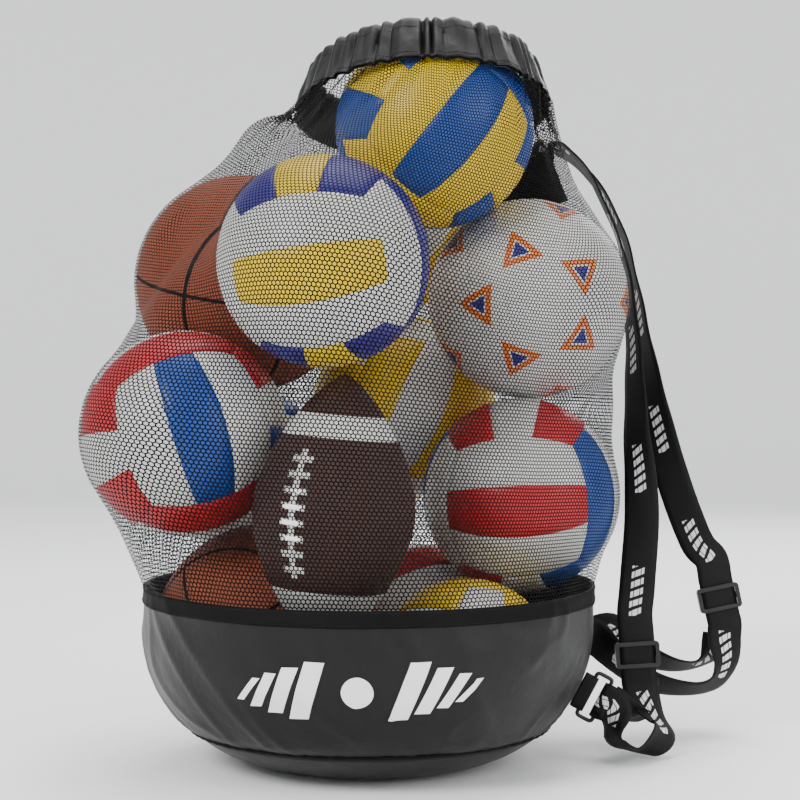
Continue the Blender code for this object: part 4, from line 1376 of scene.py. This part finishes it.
def tube(path, radius, sides=10):
    """Rows of points round a path, with their distances along it."""
    path = np.asarray(path)
    ahead = unit(np.gradient(path, axis=0))
    guide = np.zeros(3)
    guide[np.argmin(np.abs(ahead[0]))] = 1.0
    side = np.cross(ahead[0], guide)
    rings = []
    for place, along in zip(path, ahead):
        side = unit(side - along * (side @ along))
        up = np.cross(along, side)
        turns = np.arange(sides) * math.tau / sides
        rings.append([place + (side * math.cos(t) + up * math.sin(t)) * radius for t in turns])
    lengths = np.concatenate([[0.0], np.cumsum(np.linalg.norm(np.diff(path, axis=0), axis=1))])
    return np.array(rings), lengths


def cord_material():
    """Round braided cord: two sets of strands that cross, with painted shade between them."""
    made, tree, shader = new_material("drawcord_braid", 0.75, specular=0.3)
    if tree is None:
        return made
    uv = node(tree, "ShaderNodeUVMap", uv_map="UVMap").outputs[0]
    split = node(tree, "ShaderNodeSeparateXYZ", {0: uv})
    along = sums(tree, "MULTIPLY", split.outputs[1], math.tau / 0.006)
    around = sums(tree, "MULTIPLY", split.outputs[0], math.tau * 4)
    left = sums(tree, "SINE", sums(tree, "ADD", along, around))
    right = sums(tree, "SINE", sums(tree, "SUBTRACT", along, around))
    braid = sums(tree, "MAXIMUM", left, right)
    # Painted shade and highlight: the cord is darker between the strands and lighter on their crowns, following
    # the same braid as the bump.
    tree.links.new(
        mixed(tree, braid, (0.006, 0.006, 0.006), (0.030, 0.030, 0.031)), shader.inputs["Base Color"]
    )
    bumped(tree, shader, braid, 0.7, 0.0006)
    return made


class BALLBAG_OT_drawcord(bpy.types.Operator):
    """Makes the drawcord in the casing, its knot and its sprung lock"""

    bl_idname = "ball_bag.drawcord"
    bl_label = "Drawcord and Lock"

    def execute(self, context):
        look = cord_material()
        lock, backward, _ = lock_place()
        apart = np.array((CORD_DIAMETER / 2 + 0.0004, 0, 0))
        inside = [
            casing_place(a, cord_height(), 0.0)
            for a in np.linspace(180 + CASING_SLIT / 3, 540 - CASING_SLIT / 3, 84)
        ]
        leaving = [lock + backward * s for s in (CORD_TAIL, 0.0, -LOCK_DIAMETER / 2)]
        route = [p + apart for p in leaving] + inside[::-1] + [p - apart for p in reversed(leaving)]
        rings, lengths = tube(smooth_path(route, 0.004), CORD_DIAMETER / 2 * 0.97)
        closed = np.concatenate([rings, rings[:, :1]], axis=1)
        bm = grid_mesh(closed, uv_along=lengths)
        bmesh.ops.remove_doubles(bm, verts=bm.verts, dist=1e-6)
        bmesh.ops.holes_fill(bm, edges=[e for e in bm.edges if len(e.link_faces) == 1], sides=0)
        bmesh.ops.recalc_face_normals(bm, faces=bm.faces)
        put("drawcord_braid", bm, [look], replaces=("drawcord",), angle=70.0)
        self.knot(look)
        for name, slot, look in (
            ("cord_lock_body", "moulded_plastic", plastic_material()),
            ("cord_lock_button", "moulded_plastic", plastic_material()),
        ):
            body = "cord_lock" if name == "cord_lock_body" else "lock_button"
            softened(name, look, 0.0006, body)
        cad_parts["cord_lock_spring"].data.materials.clear()
        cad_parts["cord_lock_spring"].data.materials.append(steel_material())
        return {"FINISHED"}

    def knot(self, look):
        """An overhand knot: a trefoil of the same cord, drawn tight."""
        low, high = (np.array(c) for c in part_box("cord_knot"))
        middle = (low + high) / 2
        half = (high - low) / 2
        path = []
        for t in np.linspace(0, math.tau, 60):
            x = (math.sin(t) + 2 * math.sin(2 * t)) / 3
            z = (math.cos(t) - 2 * math.cos(2 * t)) / 3
            off = (x * half[0] * 0.62, -math.sin(3 * t) * half[1] * 0.45, z * half[2] * 0.62)
            path.append(middle + np.array(off))
        rings, lengths = tube(path, CORD_DIAMETER * 0.42)
        bm = grid_mesh(np.concatenate([rings, rings[:, :1]], axis=1), uv_along=lengths)
        bmesh.ops.remove_doubles(bm, verts=bm.verts, dist=1e-6)
        bmesh.ops.recalc_face_normals(bm, faces=bm.faces)
        put("cord_end_knot", bm, [look], replaces=("cord_knot",), angle=70.0)


def softened(name, look, width, body, smooth_levels=0):
    """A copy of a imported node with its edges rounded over, which stands for it."""
    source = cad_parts[name]
    bm = bmesh.new()
    bm.from_mesh(source.data)
    bmesh.ops.remove_doubles(bm, verts=bm.verts, dist=1e-6)
    bmesh.ops.dissolve_limit(bm, angle_limit=math.radians(1.0), verts=bm.verts, edges=bm.edges)
    piece = put(f"{name}_moulding", bm, [look], body, angle=35.0, replaces=(name,))
    bevel = piece.modifiers.new("Edges", "BEVEL")
    bevel.width = width
    bevel.segments = 2
    bevel.limit_method = "ANGLE"
    bevel.angle_limit = math.radians(35)
    if smooth_levels:
        piece.modifiers.remove(bevel)
        rounder = piece.modifiers.new("Round", "SUBSURF")
        rounder.levels = smooth_levels
        rounder.render_levels = smooth_levels
    return piece


# ---- Straps


def webbing_strip(name, stations, look, replaces, body="bag", step=0.004, bow=0.0006):
    """A flat strap through (centre, width direction) stations, a little bowed across its width."""
    path = smooth_path([(*centre, *across) for centre, across in stations], step)
    centres = path[:, :3]
    ahead = unit(np.diff(centres, axis=0))
    along = unit(np.concatenate([ahead[:1], ahead[1:] + ahead[:-1], ahead[-1:]]))
    across = path[:, 3:]
    across = unit(across - along * (across * along).sum(axis=1, keepdims=True))
    normal = np.cross(along, across)
    lengths = np.concatenate([[0.0], np.cumsum(np.linalg.norm(np.diff(centres, axis=0), axis=1))])
    shares = np.linspace(-0.5, 0.5, 7)
    rows = []
    for place, side, out, length in zip(centres, across, normal, lengths):
        edge = WEBBING_WIDTH / 2 * 0.010 * math.sin(length / 0.0032 * math.tau)
        wave = 0.0005 * math.sin(length * 90)
        row = []
        for s in shares:
            beside = s * WEBBING_WIDTH + math.copysign(edge, s) * (abs(s) > 0.45)
            row.append(place + side * beside + out * (bow * (0.25 - s * s) * 2 + wave))
        rows.append(row)
    bm = grid_mesh(np.array(rows), uv_along=lengths)
    strap = put(name, bm, [look], body, angle=70.0, replaces=replaces)
    thicken(strap, WEBBING_THICKNESS * 0.9)
    return strap


def ring_frame(strap):
    azimuth = strap["ring_azimuth"]
    turn = math.acos(1 - strap["ring_height"] / CORNER_RADIUS)
    out, height = corner_point(math.degrees(turn))
    radial = outward(azimuth)
    normal = radial * math.sin(turn) - np.array((0, 0, math.cos(turn)))
    surface = radial * out + np.array((0, 0, height))
    centre = surface + normal * (TAB_LENGTH + RING_OPENING / 2 - RING_BAR / 2)
    down = radial * -math.cos(turn) - np.array((0, 0, math.sin(turn)))
    return surface, centre, normal, down, np.cross(normal, down)


def turn_round(bar, outwards, side, gap):
    radius = RING_BAR / 2 + gap + WEBBING_THICKNESS / 2
    turns = np.linspace(-math.pi / 2, math.pi / 2, 7)
    return [bar + outwards * radius * math.cos(t) + side * radius * math.sin(t) for t in turns]


def strap_stations(sizes, strap):
    """The whole strap: from its sewn top, through the slider, round the ring and back."""
    _, centre, normal, down, side = ring_frame(strap)
    bar = centre + normal * (RING_OPENING / 2 + RING_BAR / 2)
    along = np.array(Vector(strap["slider_along"]).normalized())
    middle = np.array(strap["slider"])
    across = strap["slider_across"]
    through = [(middle + along * s, across) for s in (0.045, 0.022, 0.0, -0.022, -0.030)]
    loop = turn_round(bar, -normal, side, RING_WRAP_GAP)
    straight = normal * RING_OPENING
    round_ring = [(p, down) for p in [loop[0] + straight, *loop, loop[-1] + straight]]
    turn = strap["sewn_azimuth"] / 360
    sewn = []
    for share in SEWN_SHARES:
        place = net_at(sizes, np.array([turn]), np.array([share]), SEWN_LIFT)[0]
        beside = net_at(sizes, np.array([turn - 0.01]), np.array([share]), SEWN_LIFT)[0]
        sewn.append((place, unit(beside - place)))
    return sewn + list(strap["upper"]) + through + list(strap["lower"]) + round_ring + list(strap["back"])


class BALLBAG_OT_straps(bpy.types.Operator):
    """Makes the two shoulder straps with their sliders, rings, tabs and sewn patch"""

    bl_idname = "ball_bag.straps"
    bl_label = "Shoulder Straps"

    def execute(self, context):
        sizes = context.scene.ball_bag_sizes
        webbing = webbing_material(tuple(context.scene.ball_bag_colours.webbing), sizes.mark_pitch)
        thread = thread_material("sewing_thread", (0.012, 0.012, 0.013), 0.6)
        plastic = plastic_material()
        for number, strap in STRAPS.items():
            webbing_strip(
                f"strap_webbing_{number}",
                strap_stations(sizes, strap),
                webbing,
                (f"shoulder_strap_{number}",),
                f"strap_{number}",
            )
            self.tab(number, strap, webbing)
            softened(f"strap_slider_{number}", plastic, 0.0006, f"slider_{number}")
            softened(f"strap_ring_{number}", plastic, 0.0004, f"ring_{number}", 1)
        self.patch(sizes, thread)
        return {"FINISHED"}

    def tab(self, number, strap, webbing):
        surface, centre, normal, down, side = ring_frame(strap)
        bar = centre - normal * (RING_OPENING / 2 + RING_BAR / 2)
        start = surface + normal * 0.0008
        spread = RING_BAR / 2 + RING_WRAP_GAP / 2 + WEBBING_THICKNESS / 2
        loop = turn_round(bar, normal, side, RING_WRAP_GAP / 2)
        root = [start - side * spread] + loop + [start + side * spread]
        stations = [(p, down) for p in root]
        webbing_strip(
            f"strap_tab_webbing_{number}", stations, webbing, (f"strap_tab_{number}",), step=0.002, bow=0.0
        )

    def patch(self, sizes, thread):
        look = thread_material("patch_webbing", (0.005, 0.005, 0.005), 0.65, 700.0)
        turns = np.linspace(*PATCH_AZIMUTHS, 40) / 360
        shares = np.linspace(*PATCH_SHARES, 18)
        points = [net_at(sizes, turns, np.full(40, s), 0.0052) for s in shares]
        patch = put(
            "sewn_patch", grid_mesh(np.array(points)), [look], replaces=("strap_patch",)
        )
        thicken(patch, 0.0018)
        for number, share in enumerate((0.815, 0.918)):
            around = np.linspace(PATCH_AZIMUTHS[0] + 1.5, PATCH_AZIMUTHS[1] - 1.5, 36) / 360
            spots = net_at(sizes, around, np.full(36, share), 0.0065)
            normals = spots - np.array((0, 0, spots[:, 2].mean()))
            stitches(f"patch_stitches_{number + 1}", list(spots), list(normals), 0.0026, thread)


# ---- Stage


class BALLBAG_OT_stage(bpy.types.Operator):
    """Makes the pale floor and backdrop, the soft lights and the camera"""

    bl_idname = "ball_bag.stage"
    bl_label = "Studio"

    def execute(self, context):
        scene = context.scene
        bm = bmesh.new()
        profile = [(0.0, 0.0), (4.0, 0.0)]
        profile += [
            (4.0 + 1.5 * math.sin(t), 1.5 - 1.5 * math.cos(t))
            for t in np.linspace(0.1, math.pi / 2, 12)
        ]
        profile += [(5.5, 4.5)]
        verts = [bm.verts.new((out, 0, height - 0.0005)) for out, height in profile]
        edges = [bm.edges.new(pair) for pair in zip(verts, verts[1:])]
        bmesh.ops.spin(
            bm, geom=verts + edges, cent=(0, 0, 0), axis=(0, 0, 1), angle=math.tau, steps=96, use_merge=True
        )
        bmesh.ops.remove_doubles(bm, verts=bm.verts, dist=1e-5)
        bmesh.ops.recalc_face_normals(bm, faces=bm.faces)
        mesh = bpy.data.meshes.new("studio_floor")
        bm.to_mesh(mesh)
        bm.free()
        mesh.shade_smooth()
        mesh.materials.append(floor_material(tuple(scene.ball_bag_colours.floor)))
        floor = bpy.data.objects.new("studio_floor", mesh)
        scene.collection.objects.link(floor)
        self.lights(scene)
        world = bpy.data.worlds.new("studio")
        world.use_nodes = True
        world.node_tree.nodes["Background"].inputs[0].default_value = (0.95, 0.97, 1.0, 1.0)
        world.node_tree.nodes["Background"].inputs[1].default_value = 1.1
        scene.world = world
        camera = bpy.data.cameras.new("camera")
        camera.lens = 85.0
        camera.sensor_width = 36.0
        view = bpy.data.objects.new("camera", camera)
        view.location = (0.032, -2.0, 0.42)
        view.rotation_euler = (math.pi / 2 - 0.02, 0.0, 0.0)
        scene.collection.objects.link(view)
        scene.camera = view
        return {"FINISHED"}

    def lights(self, scene):
        for name, place, size, power in (
            ("key_light", (-1.9, -2.2, 2.3), 1.3, 120.0),
            ("fill_light", (2.3, -1.9, 1.5), 1.8, 60.0),
            ("top_light", (0.2, 0.6, 3.0), 2.0, 70.0),
            ("rim_light", (1.2, 2.4, 1.8), 1.4, 40.0),
        ):
            lamp = bpy.data.lights.new(name, "AREA")
            lamp.energy = power
            lamp.size = size
            made = bpy.data.objects.new(name, lamp)
            made.location = place
            made.rotation_euler = (Vector((0, 0, 0.35)) - Vector(place)).to_track_quat("-Z", "Y").to_euler()
            scene.collection.objects.link(made)


class BALLBAG_PT_panel(bpy.types.Panel):
    """Lists the bag's pieces, sizes and colours"""

    bl_idname = "BALLBAG_PT_panel"
    bl_label = "Ball Bag"
    bl_space_type = "VIEW_3D"
    bl_region_type = "UI"
    bl_category = "Ball Bag"

    def draw(self, context):
        for group in (context.scene.ball_bag_sizes, context.scene.ball_bag_colours):
            column = self.layout.column()
            for name in group.__annotations__:
                column.prop(group, name)
        for operator in OPERATORS:
            self.layout.operator(operator.bl_idname)


OPERATORS = (
    BALLBAG_OT_stage,
    BALLBAG_OT_drawcord,
    BALLBAG_OT_load,
    BALLBAG_OT_skirt,
    BALLBAG_OT_mark,
    BALLBAG_OT_net,
    BALLBAG_OT_casing,
    BALLBAG_OT_straps,
)
CLASSES = (BallBagSizes, BallBagColours, *OPERATORS, BALLBAG_PT_panel)


def register():
    for made in CLASSES:
        bpy.utils.register_class(made)
    bpy.types.Scene.ball_bag_sizes = PointerProperty(type=BallBagSizes)
    bpy.types.Scene.ball_bag_colours = PointerProperty(type=BallBagColours)


def unregister():
    del bpy.types.Scene.ball_bag_colours
    del bpy.types.Scene.ball_bag_sizes
    for made in reversed(CLASSES):
        bpy.utils.unregister_class(made)


def main():
    register()
    bpy.ops.ball_bag.stage()
    bpy.ops.ball_bag.drawcord()
    bpy.ops.ball_bag.load()
    bpy.ops.ball_bag.skirt()
    bpy.ops.ball_bag.mark()
    bpy.ops.ball_bag.net()
    bpy.ops.ball_bag.casing()
    bpy.ops.ball_bag.straps()


if __name__ == "__main__":
    main()
